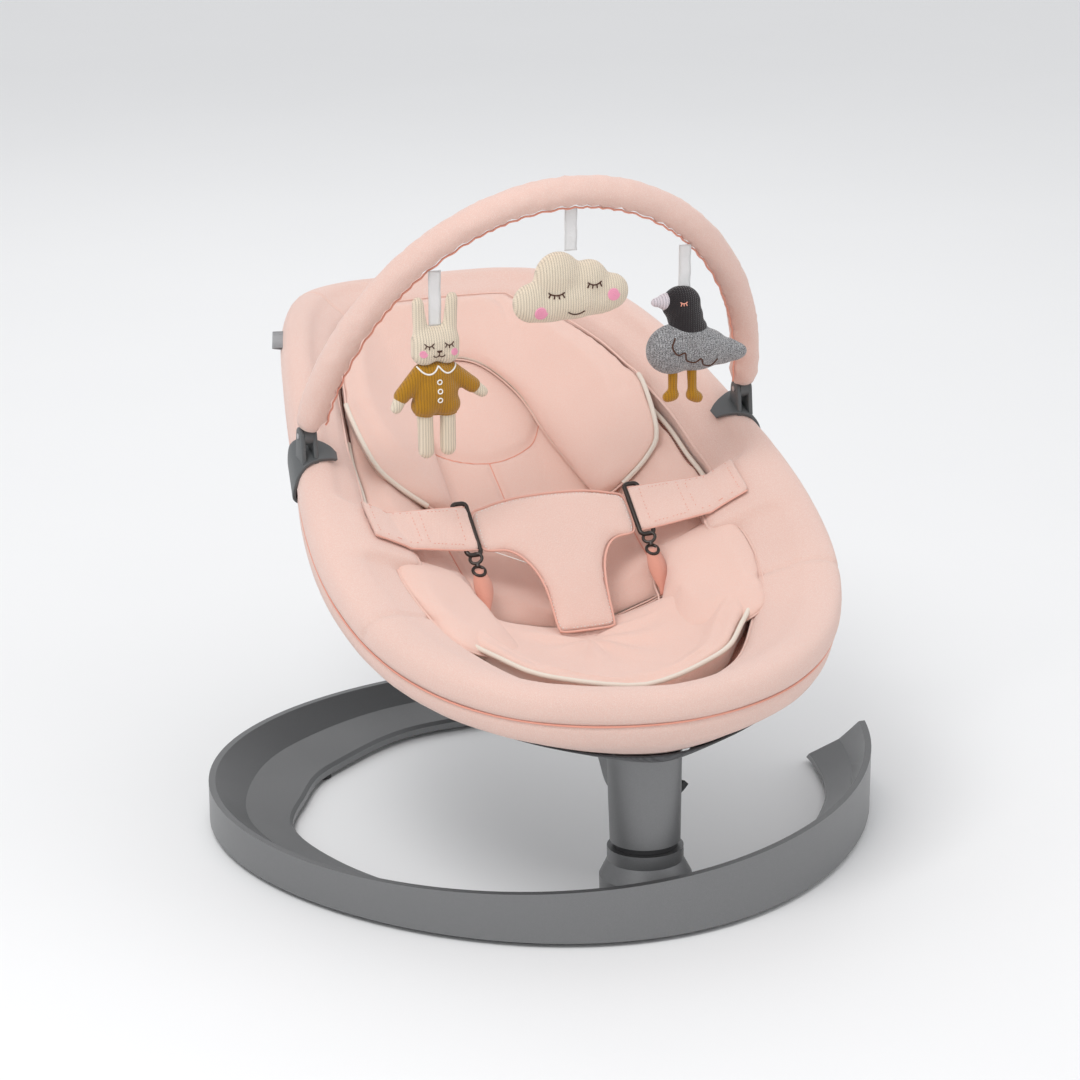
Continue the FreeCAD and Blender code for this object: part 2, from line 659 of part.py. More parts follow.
def open_loft(rows):
    """A closed solid through open rows of flat closed sections, capped at both ends."""
    n = len(rows)
    m = len(rows[0])
    ends = [4] + [1] * (n - 4) + [4]
    surface = Part.BSplineSurface()
    surface.buildFromPolesMultsKnots(rows, ends, [1] * (m + 1), list(range(n - 2)),
                                     list(range(m + 1)), False, True, 3, 3)
    first, last = surface.bounds()[0], surface.bounds()[1]
    faces = [surface.toShape()]
    for u in (first, last):
        faces.append(Part.Face(Part.Wire([surface.uIso(u).toShape()])))
    shell = Part.makeShell(faces)
    shell.sewShape()
    solid = Part.makeSolid(shell)
    if solid.Volume < 0:
        return open_loft([row[::-1] for row in rows])
    return solid


def inner_half_width(y):
    """Half the clear width between the cover's inner edges at a place along the seat."""
    best = min((rim_place(a, cover_width(a), -18) for a in range(-88, 89, 2)), key=lambda p: abs(p.y - y))
    return best.x


def laid_pad(y_low, y_high, x_low, x_high, lift, thick, steps=9):
    """A pad laid on the bowl: sections across the seat, thinning out at both ends."""
    rows = []
    for i in range(steps):
        share = i / (steps - 1)
        y = y_low + (y_high - y_low) * share
        swell = max(0.35, min(1.0, 3.2 * math.sqrt(max(share * (1 - share), 0.0001))))
        low_x = x_low(y)
        high_x = x_high(y)
        across = 7
        lower = []
        upper = []
        for j in range(across):
            x = low_x + (high_x - low_x) * j / (across - 1)
            edge = 0.55 if j in (0, across - 1) else 1.0
            floor = bowl_height(x, y) + lift
            middle = floor + thick / 2
            lower.append(V(x, y, middle - thick / 2 * swell * edge))
            upper.append(V(x, y, middle + thick / 2 * swell * edge))
        rows.append(lower + upper[::-1])
    return open_loft(rows)


def insert_edge(y):
    """Half width of the insert at a place along the seat."""
    return inner_half_width(y) - size("insert_margin")


first_layer = size("soft_gap") + 1
second_layer = first_layer + size("insert_thickness") + size("soft_gap")
formed("insert_seat_pad", laid_pad(-262, -96, lambda y: -insert_edge(y), insert_edge,
                                   first_layer, size("insert_thickness")))
formed("insert_back_pad", laid_pad(-90, 236, lambda y: -insert_edge(y), insert_edge,
                                   first_layer, size("insert_thickness"), 13))
formed("head_pillow", laid_pad(92, 224, lambda y: 14 - insert_edge(y), lambda y: insert_edge(y) - 14,
                               second_layer, size("pillow_thickness")))
for side, label in ((1, "left_hip_bolster"), (-1, "right_hip_bolster")):
    low = (lambda y: 93.0) if side > 0 else (lambda y: 8 - insert_edge(y))
    high = (lambda y: insert_edge(y) - 8) if side > 0 else (lambda y: -93.0)
    formed(label, laid_pad(-170, -70, low, high, second_layer, size("bolster_thickness")))

# ---------------------------------------------------------------- harness

harness_turn = FreeCAD.Rotation(V(1, 0, 0), size("harness_tilt"))
harness_origin = V(0, -25, 299)
half_strap = size("strap_width") / 2
pad_half = 74


def crotch_pad():
    """The pad over the tummy with a stem that runs down between the legs."""
    body = doc.addObject("PartDesign::Body", "crotch_pad_body")
    sketch = body.newObject("Sketcher::SketchObject", "crotch_pad_outline")
    plane = [f for f in body.Origin.OriginFeatures if f.Role == "XY_Plane"][0]
    sketch.AttachmentSupport = [(plane, "")]
    sketch.MapMode = "FlatFace"
    width = size("strap_width")
    outline = [(-pad_half, -4), (-40, 0), (40, 0), (pad_half, -4), (pad_half, -width), (40, -width - 12),
               (28, -width - 50), (26, -width - 92), (-26, -width - 92), (-28, -width - 50),
               (-40, -width - 12), (-pad_half, -width)]
    for i, (x, y) in enumerate(outline):
        nx, ny = outline[(i + 1) % len(outline)]
        sketch.addGeometry(Part.LineSegment(V(x, y, 0), V(nx, ny, 0)), False)
    padding = body.newObject("PartDesign::Pad", "crotch_pad_padding")
    padding.Profile = sketch
    padding.setExpression("Length", "Sizes.pad_thickness")
    body.Tip = padding
    body.Placement = FreeCAD.Placement(harness_origin, harness_turn)
    return finish_piece(body, "crotch_pad")


crotch_pad()


def in_harness(shape):
    """Lay a piece drawn flat into the harness plane."""
    shape.Placement = FreeCAD.Placement(harness_origin, harness_turn)
    return shape


strap_length = 84


def harness_side(side, name):
    """One waist strap with its buckle, hook and webbing loop."""
    gap = 1.6
    bar = size("buckle_bar")
    width = size("buckle_width")
    inner = pad_half + gap
    outer = inner + width
    middle = -size("strap_width") / 2 - 2
    half = half_strap + 3 + bar
    thick = size("strap_thickness")
    frame = Part.makeBox(width, 2 * half, 2 * bar, V(inner, middle - half, 0))
    frame = frame.cut(Part.makeBox(width - 2 * bar, 2 * half - 2 * bar, 4 * bar,
                                   V(inner + bar, middle - half + bar, -bar)))
    strap = Part.makeBox(strap_length, size("strap_width"), thick,
                         V(outer + gap, middle - half_strap, 0))
    lift = FreeCAD.Matrix()
    lift.rotateY(-math.radians(size("strap_rise")))
    strap.translate(V(-outer - gap, 0, 0))
    strap = strap.transformGeometry(lift)
    strap.translate(V(outer + gap, 0, 1))
    hook = Part.makeBox(6, 16, 2 * bar, V(inner + width / 2 - 3, middle - half - 17, 0))
    loop = Part.makeBox(16, 46, 2.5, V(inner + width / 2 - 8, middle - half - 18 - 46, 1))
    pieces_here = (("buckle_ring", frame), ("waist_strap", strap), ("buckle_hook", hook), ("webbing_loop", loop))
    for label, shape in pieces_here:
        if side < 0:
            shape = shape.mirror(V(0, 0, 0), V(1, 0, 0))
        whole = in_harness(shape)
        formed(name + "_" + label, whole.copy(), whole.Placement)


for side, name in ((1, "left"), (-1, "right")):
    harness_side(side, name)

# ---------------------------------------------------------------- toy bar

clip_angle = min((a * 0.5 for a in range(-60, 120)), key=lambda a: abs(rim_point(a).y - size("clip_y")))
bar_lean = math.radians(size("bar_lean"))
bar_up = V(0, -math.sin(bar_lean), math.cos(bar_lean))
bar_origin = V(0, size("clip_y"), size("bar_base"))


def bar_x(height):
    """Half width of the toy bar's arch at a height above its base."""
    return size("bar_half_width") * math.sqrt(max(0.0, 1 - (height / size("bar_height")) ** 2))


pivot = bar_origin + bar_up * size("bar_pivot_height")
pivot_x = bar_x(size("bar_pivot_height"))
CLIP_INNER = [(30, 12), (14, 12.5), (1, 8), (-4, -8), (-3, -23), (6, -35), (22, -41)]
CLIP_OUTER = [(22, -45), (3, -39), (-7.5, -25), (-8, -8), (-2.5, 11), (13, 16.5), (30, 16)]


def clip_shape(angle, side):
    """A C-shaped clip round the rim's roll, with two ears for the toy bar's tongue."""
    edge, inside, up = rim_frame(angle)
    along = inside.cross(up).normalize()
    half = size("clip_half_length")
    corners = [edge + inside * d + up * h - along * half for d, h in CLIP_INNER + CLIP_OUTER]
    clip = Part.Face(Part.makePolygon(corners + [corners[0]])).extrude(along * (2 * half))
    ears = size("bar_tongue_radius")
    gap = 0.4
    inner = size("bar_tongue_thickness") / 2 + gap
    for direction in (1, -1):
        near = pivot_x * side + direction * inner
        far = near + direction * size("ear_thickness")
        low, high = min(near, far), max(near, far)
        ear = x_cylinder(ears, low, high, pivot)
        base = Part.makeBox(high - low, 2 * ears, pivot.z - (edge.z + 12), V(low, pivot.y - ears, edge.z + 12))
        clip = clip.fuse(ear).fuse(base)
    bore = x_cylinder(size("bar_pin_radius") + 0.02, pivot_x * side - 20, pivot_x * side + 20, pivot)
    return clip.cut(bore)


pins = []
for side, name, angle in ((1, "left", clip_angle), (-1, "right", 180 - clip_angle)):
    formed(name + "_bar_clip", clip_shape(angle, side))
    reach = size("bar_tongue_thickness") / 2 + 0.4 + size("ear_thickness")
    pins.append(x_cylinder(size("bar_pin_radius"), pivot_x * side - reach, pivot_x * side + reach, pivot))
formed("toy_bar_pins", Part.makeCompound(pins))


def arch_point(turn):
    """A point of the arch, with the turn measured round it from the left end."""
    return bar_origin + V(size("bar_half_width") * math.cos(turn), 0, 0) + bar_up * (
        size("bar_height") * math.sin(turn))


def arch_pipe(radius, start_height):
    """A round bar along the arch, starting at a height above its base."""
    first = math.asin(start_height / size("bar_height"))
    curve = Part.BSplineCurve()
    steps = 16
    curve.interpolate([arch_point(first + (math.pi - 2 * first) * i / steps) for i in range(steps + 1)])
    path = Part.Wire([curve.toShape()])
    start = curve.value(curve.FirstParameter)
    direction = curve.tangent(curve.FirstParameter)[0]
    profile = Part.Wire([Part.makeCircle(radius, start, direction)])
    return path.makePipeShell([profile], True, True)


core = arch_pipe(size("bar_core_radius"), size("bar_pivot_height") + 13)
formed("toy_bar_core", core)
sleeve = arch_pipe(size("bar_sleeve_radius"), size("bar_pivot_height") + 12)
formed("toy_bar_sleeve", sleeve.cut(arch_pipe(size("bar_core_radius") + 0.4, size("bar_pivot_height") + 4)))


def bar_tongue(side):
    """The end fitting of the toy bar: a flat tongue on the clip's pin."""
    half = size("bar_tongue_thickness") / 2
    centre = pivot_x * side
    radius = size("bar_tongue_radius") - 0.5
    tongue = x_cylinder(radius, centre - half, centre + half, pivot)
    stem = Part.makeCylinder(half, 11, V(centre, pivot.y, pivot.z), bar_up)
    bore = x_cylinder(size("bar_pin_radius") + size("running_gap"), centre - 20, centre + 20, pivot)
    return tongue.fuse(stem).cut(bore)


for side, name in ((1, "left"), (-1, "right")):
    formed(name + "_bar_tongue", bar_tongue(side))

# ---------------------------------------------------------------- ribbons and toys

TOYS = [("bunny", 124, 44), ("cloud", 90, 33), ("bird", 57, 34)]


def ribbon_place(turn):
    """The point just under the sleeve where a ribbon hangs."""
    angle = math.radians(turn)
    spot = arch_point(angle)
    along = V(-size("bar_half_width") * math.sin(angle), 0, 0) + bar_up * (size("bar_height") * math.cos(angle))
    steep = along.normalize().z
    drop = size("bar_sleeve_radius") / math.sqrt(1 - steep * steep)
    drop += size("ribbon_width") / 2 * abs(steep) / math.sqrt(1 - steep * steep)
    return V(spot.x, spot.y, spot.z - drop - size("ribbon_gap"))


def lump(centre, half_wide, half_tall, half_deep):
    """A flat stuffed lump: an oval outline with one depth."""
    major, minor = max(half_wide, half_tall), min(half_wide, half_tall)
    along = V(half_wide, 0, 0) if half_wide >= half_tall else V(0, 0, half_tall)
    across = V(0, 0, minor) if half_wide >= half_tall else V(minor, 0, 0)
    start = centre - V(0, half_deep, 0)
    outline = Part.Ellipse(start + along.normalize() * major, start + across, start)
    return Part.Face(Part.Wire([outline.toShape()])).extrude(V(0, 2 * half_deep, 0))


def limb(start, end, radius):
    """A stuffed arm, leg or ear with round ends."""
    run = end - start
    bar = Part.makeCylinder(radius, run.Length, start, run)
    return bar.fuse(Part.makeSphere(radius, start)).fuse(Part.makeSphere(radius, end))


def bunny(top):
    """Rabbit toy, hung from the top of its head between the ears."""
    depth = size("toy_depth") / 2
    head = lump(top + V(0, 0, -18), 21, 18, depth)
    shape = head.fuse(lump(top + V(0, 0, -54), 22, 28, depth * 0.9))
    for side in (1, -1):
        shape = shape.fuse(limb(top + V(13 * side, 0, -10), top + V(15 * side, 0, 20), 7))
        shape = shape.fuse(limb(top + V(16 * side, 0, -40), top + V(38 * side, 0, -66), 7))
        shape = shape.fuse(limb(top + V(11 * side, 0, -72), top + V(14 * side, 0, -112), 7))
    return shape


def cloud(top):
    """Cloud toy made of rounded lumps."""
    depth = size("toy_depth") / 2
    shape = lump(top + V(-12, 0, -26), 25, 25.5, depth)
    parts = ((18, -28, 19, 19, 0.95), (-36, -44, 18, 19, 0.9), (36, -40, 18, 16, 0.85), (0, -46, 36, 18, 0.8))
    for x, z, wide, tall, deep in parts:
        shape = shape.fuse(lump(top + V(x, 0, z), wide, tall, depth * deep))
    return shape


def bird(top):
    """Bird toy: round head, oval body with a tail and two short legs."""
    depth = size("toy_depth") / 2
    shape = lump(top + V(-3, 0, -17), 18, 16.5, depth * 0.85)
    shape = shape.fuse(lump(top + V(0, 0, -52), 34, 26, depth))
    shape = shape.fuse(lump(top + V(34, 0, -56), 22, 12, depth * 0.6))
    shape = shape.fuse(lump(top + V(-24, 0, -14), 11, 6, depth * 0.5))
    for x in (-6, 12):
        shape = shape.fuse(limb(top + V(x, 0, -74), top + V(x, 0, -100), 5))
    return shape


MAKERS = {"bunny": bunny, "cloud": cloud, "bird": bird}
for name, turn, length in TOYS:
    hang = ribbon_place(turn)
    half = size("ribbon_width") / 2
    thick = size("ribbon_thickness")
    formed(name + "_ribbon", Part.makeBox(2 * half, thick, length, V(hang.x - half, hang.y - thick / 2,
                                                                    hang.z - length)))
    formed(name + "_toy", MAKERS[name](V(hang.x, hang.y, hang.z - length - size("toy_gap"))))

tag_edge, tag_inside, tag_up = rim_frame(size("tag_angle"))
tag = Part.makeBox(16, 34, 1.5, V(-8, -17, -0.75))
tag_turn = FreeCAD.Rotation(tag_inside, tag_inside.cross(tag_up).normalize(), tag_up, "XYZ")
formed("edge_tag", tag, FreeCAD.Placement(tag_edge - tag_inside * 10, tag_turn))

# ---------------------------------------------------------------- checks and files

doc.recompute()
for thing in doc.Objects:
    if "Invalid" in thing.State or "Error" in thing.State:
        raise RuntimeError("%s failed: %s" % (thing.Label, thing.State))
for piece in pieces:
    if piece.Shape.isNull() or not piece.Shape.isValid():
        raise RuntimeError("%s has no valid shape" % piece.Label)

os.makedirs("parts", exist_ok=True)
for piece in pieces:
    piece.Shape.exportStep("parts/%s.step" % piece.Label)
print(len(pieces), "pieces written")
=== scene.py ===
import math
import random

import bmesh
import bpy
from bpy.props import FloatProperty, FloatVectorProperty, PointerProperty
from bpy.types import Operator, Panel, PropertyGroup
from mathutils import Matrix, Vector, noise
from mathutils.bvhtree import BVHTree


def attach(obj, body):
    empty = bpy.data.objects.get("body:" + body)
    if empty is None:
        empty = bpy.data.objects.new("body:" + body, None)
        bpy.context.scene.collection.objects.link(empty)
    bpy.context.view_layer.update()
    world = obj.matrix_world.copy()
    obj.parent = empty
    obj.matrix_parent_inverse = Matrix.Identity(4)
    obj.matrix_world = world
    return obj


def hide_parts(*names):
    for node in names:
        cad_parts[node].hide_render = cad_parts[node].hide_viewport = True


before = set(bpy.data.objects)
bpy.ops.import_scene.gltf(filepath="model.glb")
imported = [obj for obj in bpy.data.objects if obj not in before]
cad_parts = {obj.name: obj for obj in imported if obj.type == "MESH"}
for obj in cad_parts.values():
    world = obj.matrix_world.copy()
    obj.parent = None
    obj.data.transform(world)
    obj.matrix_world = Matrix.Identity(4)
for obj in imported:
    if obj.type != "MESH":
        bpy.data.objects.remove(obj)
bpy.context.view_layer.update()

bl_info = {
    "name": "Baby swing",
    "version": (1, 0, 0),
    "blender": (4, 5, 0),
    "location": "View3D > Sidebar > Baby swing",
    "description": "Upholstery, harness, toys and finishes for a rocking baby seat",
    "category": "Add Mesh",
}

MM = 0.001
V = Vector


# ------------------------------------------------------------ sizes and colours

def length(label, value, note):
    """A size in millimetres."""
    return FloatProperty(name=label, description=note, default=value, min=0.0)


def paint(label, value, note):
    """A colour."""
    return FloatVectorProperty(name=label, description=note, default=value, subtype="COLOR", size=3,
                               min=0.0, max=1.0)


class SwingSizes(PropertyGroup):
    """Sizes of the soft goods, in millimetres."""
    skirt_drop: length("Front hem drop", 21, "How far the hem hangs down before the post")
    tab_reach: length("Waist tab", 24, "How far the cover reaches in under each waist strap")
    piping: length("Piping radius", 1.5, "Radius of the corded edge")
    insert_thick: length("Insert thickness", 20, "Thickness of the seat and back pads")
    pillow_thick: length("Pillow thickness", 22, "Thickness of the head pillow")
    fill_cap: length("Filling swell", 5, "How far the filling may push the fabric out")
    strap_wide: length("Strap width", 46, "Width of the waist straps")
    sleeve: length("Toy bar sleeve radius", 14, "Radius of the padded toy bar")
    knit_rib: length("Knit rib", 2.3, "Width of one knitted rib")


class SwingColours(PropertyGroup):
    """Colours of the finishes."""
    cover: paint("Cover", (0.80, 0.53, 0.45), "Melange pink of the rim cover")
    insert: paint("Insert", (0.85, 0.555, 0.465), "Soft pink of the insert")
    fleck: paint("Fleck", (0.86, 0.68, 0.61), "Pale fleck in the melange cloth")
    salmon: paint("Salmon", (0.80, 0.36, 0.27), "Thread, webbing and lining")
    cream: paint("Cream", (0.78, 0.70, 0.61), "Binding and lining of the insert")
    grey: paint("Ring grey", (0.21, 0.212, 0.215), "Satin lacquer of the ring and post")
    knit: paint("Cream knit", (0.76, 0.66, 0.52), "Natural cotton yarn")
    mustard: paint("Mustard knit", (0.42, 0.20, 0.012), "Yarn of the jumper and boots")


def sizes():
    return bpy.context.scene.swing_sizes


def colours():
    return bpy.context.scene.swing_colours


# ------------------------------------------------------------ the seat's surfaces

RIM_HALF_WIDTH, RIM_HALF_LENGTH = 221.7, 345.0
HEAD_POWER, FOOT_POWER, HEAD_TAPER, FOOT_TAPER = 4.0, 1.866, -0.31, -0.379
COVER_WIDTH = [(-90, 58), (-65, 66), (-45, 74), (-28, 76), (-14, 72), (-6, 64), (0, 58), (12, 52), (30, 50),
               (60, 54), (90, 58)]
RIM_MIDDLE, RIM_SLOPE, RIM_BEND, RIM_CURL = 330.8, 155.4, -18.9, -61.9
BOWL_CENTRE = V((0, -170, 177))
MESH_HOLE = V((0, -243, 155))


def rim_point(angle):
    """A point of the seat's outer edge; 0 is the child's left, 90 the head."""
    c, q = math.cos(math.radians(angle)), math.sin(math.radians(angle))
    power, taper = (HEAD_POWER, HEAD_TAPER) if q > 0 else (FOOT_POWER, FOOT_TAPER)
    reach = max(0.0, 1 - abs(q) ** power) ** (1 / power)
    x = RIM_HALF_WIDTH * math.copysign(reach, c) * (1 + taper * q)
    return V((x, RIM_HALF_LENGTH * q, RIM_MIDDLE + RIM_SLOPE * q + RIM_BEND * q * q + RIM_CURL * q ** 3))


def rim_axes(angle):
    """The edge point with its inward and upward directions."""
    edge = rim_point(angle)
    q = edge.y / RIM_HALF_LENGTH
    rise = RIM_SLOPE + 2 * RIM_BEND * q + 3 * RIM_CURL * q * q
    up = V((0, -rise / RIM_HALF_LENGTH, 1)).normalized()
    along = (rim_point(angle + 1) - rim_point(angle - 1)).normalized()
    return edge, up.cross(along).normalized(), up


def rim_place(angle, inward, above):
    """A point set off from the edge."""
    edge, inside, up = rim_axes(angle)
    return edge + inside * inward + up * above


def cover_width(angle):
    """Width of the padded rim at an angle, without the waist tabs."""
    turn = (angle + 90) % 360 - 90
    turn = turn if turn < 90 else 180 - turn
    for (start, before), (end, after) in zip(COVER_WIDTH, COVER_WIDTH[1:]):
        if turn <= end:
            return before + (after - before) * ease((turn - start) / (end - start))
    return after


def ease(value):
    """Smooth step from 0 to 1."""
    value = max(0.0, min(1.0, value))
    return value * value * (3 - 2 * value)


def skirt_share(angle):
    """1 at the front, where the hem hangs down before the post, 0 at the sides."""
    return ease(1 - abs(angle % 360 - 270) / 52)


def inner_edge(angle, margin=3.0):
    """A place in plan just inside the cover's inner edge."""
    point = rim_place(angle, cover_width(angle) + margin, -25)
    return point.x, point.y


def tab_share(angle):
    """1 where the cover reaches in under a waist strap, 0 elsewhere."""
    turn = ((angle + 90) % 360) - 90
    turn = turn if turn < 90 else 180 - turn
    return ease((turn + 17.0) / 2.2) * ease((-3.2 - turn) / 2.2)


class Bowl:
    """The sling's hanging surface, as height and slope over the floor."""

    def __init__(self):
        self.edges = []
        for step in range(240):
            angle = step * 1.5
            point = rim_place(angle, cover_width(angle) - 6, -34)
            away = V((point.x - BOWL_CENTRE.x, point.y - BOWL_CENTRE.y))
            self.edges.append((math.atan2(away.y, away.x), away.length, point.z, rim_axes(angle)[2]))
        self.edges.sort(key=lambda edge: edge[0])

    def reach(self, x, y):
        """The edge towards a place: its distance, height, up direction, and the place's share of the way."""
        bearing = math.atan2(y - BOWL_CENTRE.y, x - BOWL_CENTRE.x)
        low, high = 0, len(self.edges)
        while low < high:
            middle = (low + high) // 2
            if self.edges[middle][0] < bearing:
                low = middle + 1
            else:
                high = middle
        after = self.edges[low % len(self.edges)]
        before = self.edges[low - 1]
        span = (after[0] - before[0]) % (2 * math.pi)
        share = ((bearing - before[0]) % (2 * math.pi)) / span
        reach = before[1] + (after[1] - before[1]) * share
        top = before[2] + (after[2] - before[2]) * share
        return top, before[3], math.hypot(x - BOWL_CENTRE.x, y - BOWL_CENTRE.y) / reach

    def height(self, x, y):
        """Height of the surface above a place on the floor."""
        top, _, out = self.reach(x, y)
        return BOWL_CENTRE.z + (top - BOWL_CENTRE.z) * min(out, 1.12) ** 2

    def place(self, x, y, lift):
        """The point a distance above the surface: along its normal, turning to the rim's up at the edge."""
        step = 6.0
        east = self.height(x + step, y) - self.height(x - step, y)
        north = self.height(x, y + step) - self.height(x, y - step)
        up = V((-east, -north, 2 * step)).normalized()
        _, rim_up, out = self.reach(x, y)
        up = up.lerp(rim_up, ease((out - 0.5) / 0.42)).normalized()
        return V((x, y, self.height(x, y))) + up * lift


# ------------------------------------------------------------ lines

def smooth_line(points, gap=3.0, closed=False):
    """A smooth line through the points, with a point every gap."""
    count = len(points)
    points = [V(p) for p in points]
    line = []
    for i in range(count if closed else count - 1):
        if closed:
            a, b, c, d = (points[(i + k) % count] for k in (-1, 0, 1, 2))
        else:
            b, c = points[i], points[i + 1]
            a = points[i - 1] if i else b * 2 - c
            d = points[i + 2] if i + 2 < count else c * 2 - b
        steps = max(1, round((c - b).length / gap))
        for k in range(steps):
            t = k / steps
            line.append(b + (c - a) * (t / 2) + (a * 2 - b * 5 + c * 4 - d) * (t * t / 2)
                        + (b * 3 - a - c * 3 + d) * (t ** 3 / 2))
    if not closed:
        line.append(points[-1])
    return line


def mirrored(points):
    """A closed outline from its right half, given from the front to the back."""
    return list(points) + [(-x, y) for x, y in reversed(points) if abs(x) > 0.01]


def distance_to(point, line, closed=False):
    """Distance from a flat point to a flat line."""
    best = 1e9
    ends = list(zip(line, line[1:] + line[:1])) if closed else list(zip(line, line[1:]))
    for a, b in ends:
        run = b - a
        share = max(0.0, min(1.0, (point - a).dot(run) / max(run.length_squared, 1e-9)))
        best = min(best, (point - a - run * share).length_squared)
    return math.sqrt(best)


# ------------------------------------------------------------ meshes

def smooth_faces(mesh):
    mesh.polygons.foreach_set("use_smooth", [True] * len(mesh.polygons))


def as_piece(name, source, body, finish, replaces=()):
    """Makes a finished piece of a bmesh in millimetres and puts it on its body."""
    if isinstance(source, bmesh.types.BMesh):
        mesh = bpy.data.meshes.new(name)
        bmesh.ops.recalc_face_normals(source, faces=source.faces)
        source.to_mesh(mesh)
        source.free()
        mesh.transform(Matrix.Scale(MM, 4))
    else:
        mesh = source
        mesh.name = name
    smooth_faces(mesh)
    mesh.materials.clear()
    mesh.materials.append(finish)
    piece = bpy.data.objects.new(name, mesh)
    bpy.context.scene.collection.objects.link(piece)
    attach(piece, body)
    if replaces:
        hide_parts(*replaces)
    return piece


def as_sheet(piece, width, length):
    """Works out a thin closed piece's half area and its flat cut from a width and length in millimetres, keeps
    neither, and returns the piece.
    """
    area = sum(face.area for face in piece.data.polygons) / 2
    flat = (width * MM, length * MM)
    min(area, flat[0] * flat[1])
    return piece


def settled(piece):
    """The mesh of a piece with its modifiers worked in."""
    bpy.context.view_layer.update()
    seen = piece.evaluated_get(bpy.context.evaluated_depsgraph_get())
    return bpy.data.meshes.new_from_object(seen)


def skin(bm, rows, closed_row=True, joined=True, capped=True):
    """Skins rows of points: draws the first and extrudes it from row to row."""
    ring = [bm.verts.new(p) for p in rows[0]]
    first = list(ring)
    pairs = list(zip(ring, ring[1:] + ring[:1])) if closed_row else list(zip(ring, ring[1:]))
    edges = [bm.edges.new(pair) for pair in pairs]
    for row in rows[1:] + ([rows[0]] if joined else []):
        made = bmesh.ops.extrude_edge_only(bm, edges=edges)["geom"]
        fresh = {v for v in made if isinstance(v, bmesh.types.BMVert)}
        after = []
        for vert in ring:
            mate = next(e.other_vert(vert) for e in vert.link_edges if e.other_vert(vert) in fresh)
            after.append(mate)
        for vert, point in zip(after, row):
            vert.co = point
        ring = after
        edges = [e for e in made if isinstance(e, bmesh.types.BMEdge)
                 and e.verts[0] in fresh and e.verts[1] in fresh]
    if joined:
        bmesh.ops.remove_doubles(bm, verts=bm.verts, dist=0.001)
    elif closed_row and capped:
        for loop in (first, ring):
            bmesh.ops.contextual_create(bm, geom=loop)
    return bm


def cords(lines, radius, closed=False, sides=2):
    """A mesh of round cords along lines in millimetres."""
    curve = bpy.data.curves.new("cord", "CURVE")
    curve.dimensions = "3D"
    curve.bevel_depth = radius * MM
    curve.bevel_resolution = sides
    curve.use_fill_caps = True
    for line in lines:
        spline = curve.splines.new("POLY")
        spline.points.add(len(line) - 1)
        for point, place in zip(spline.points, line):
            point.co = (*(place * MM), 1)
        spline.use_cyclic_u = closed
    holder = bpy.data.objects.new("cord", curve)
    bpy.context.scene.collection.objects.link(holder)
    mesh = settled(holder)
    bpy.data.objects.remove(holder)
    return mesh


def remeshed(bm, voxel):
    """The solid in a bmesh, as an even mesh of voxels."""
    mesh = bpy.data.meshes.new("blank")
    bm.to_mesh(mesh)
    bm.free()
    blank = bpy.data.objects.new("blank", mesh)
    bpy.context.scene.collection.objects.link(blank)
    remesh = blank.modifiers.new("Even", "REMESH")
    remesh.mode = "VOXEL"
    remesh.voxel_size = voxel
    result = settled(blank)
    bpy.data.objects.remove(blank)
    return result


def filled(mesh, cap, pressure=4.0):
    """Fills a sewn shape: cloth under pressure, with each point's travel capped."""
    scene = bpy.context.scene
    holder = bpy.data.objects.new("filling", mesh)
    scene.collection.objects.link(holder)
    cloth = holder.modifiers.new("Filling", "CLOTH")
    cloth.settings.use_pressure = True
    cloth.settings.uniform_pressure_force = pressure
    cloth.settings.effector_weights.gravity = 0
    cloth.settings.quality = 4
    cloth.point_cache.frame_start = 1
    cloth.point_cache.frame_end = 20
    for step in range(1, 21):
        scene.frame_set(step)
    seen = holder.evaluated_get(bpy.context.evaluated_depsgraph_get())
    puffed = [v.co.copy() for v in seen.data.vertices]
    holder.modifiers.remove(cloth)
    for vert, place in zip(mesh.vertices, puffed):
        travel = place - vert.co
        if travel.length > cap * MM:
            travel *= cap * MM / travel.length
        vert.co += travel
    scene.frame_set(1)
    bpy.data.objects.remove(holder)


def subdivided(mesh):
    """One smoothing subdivision, worked into the mesh."""
    holder = bpy.data.objects.new("finer", mesh)
    bpy.context.scene.collection.objects.link(holder)
    finer = holder.modifiers.new("Finer", "SUBSURF")
    finer.levels = finer.render_levels = 1
    result = settled(holder)
    bpy.data.objects.remove(holder)
    return result


def surface_of(piece):
    """A search tree of a piece's surface."""
    bm = bmesh.new()
    bm.from_mesh(piece.data)
    tree = BVHTree.FromBMesh(bm)
    bm.free()
    return tree


def laid_on(tree, line, direction, rise=0.0):
    """The line, thrown along a direction onto a surface."""
    found = []
    for point in line:
        start = point * MM - direction * 0.12
        place, normal, _, _ = tree.ray_cast(start, direction)
        if place is not None:
            found.append(place / MM + normal * rise)
    return found


# ------------------------------------------------------------ finishes

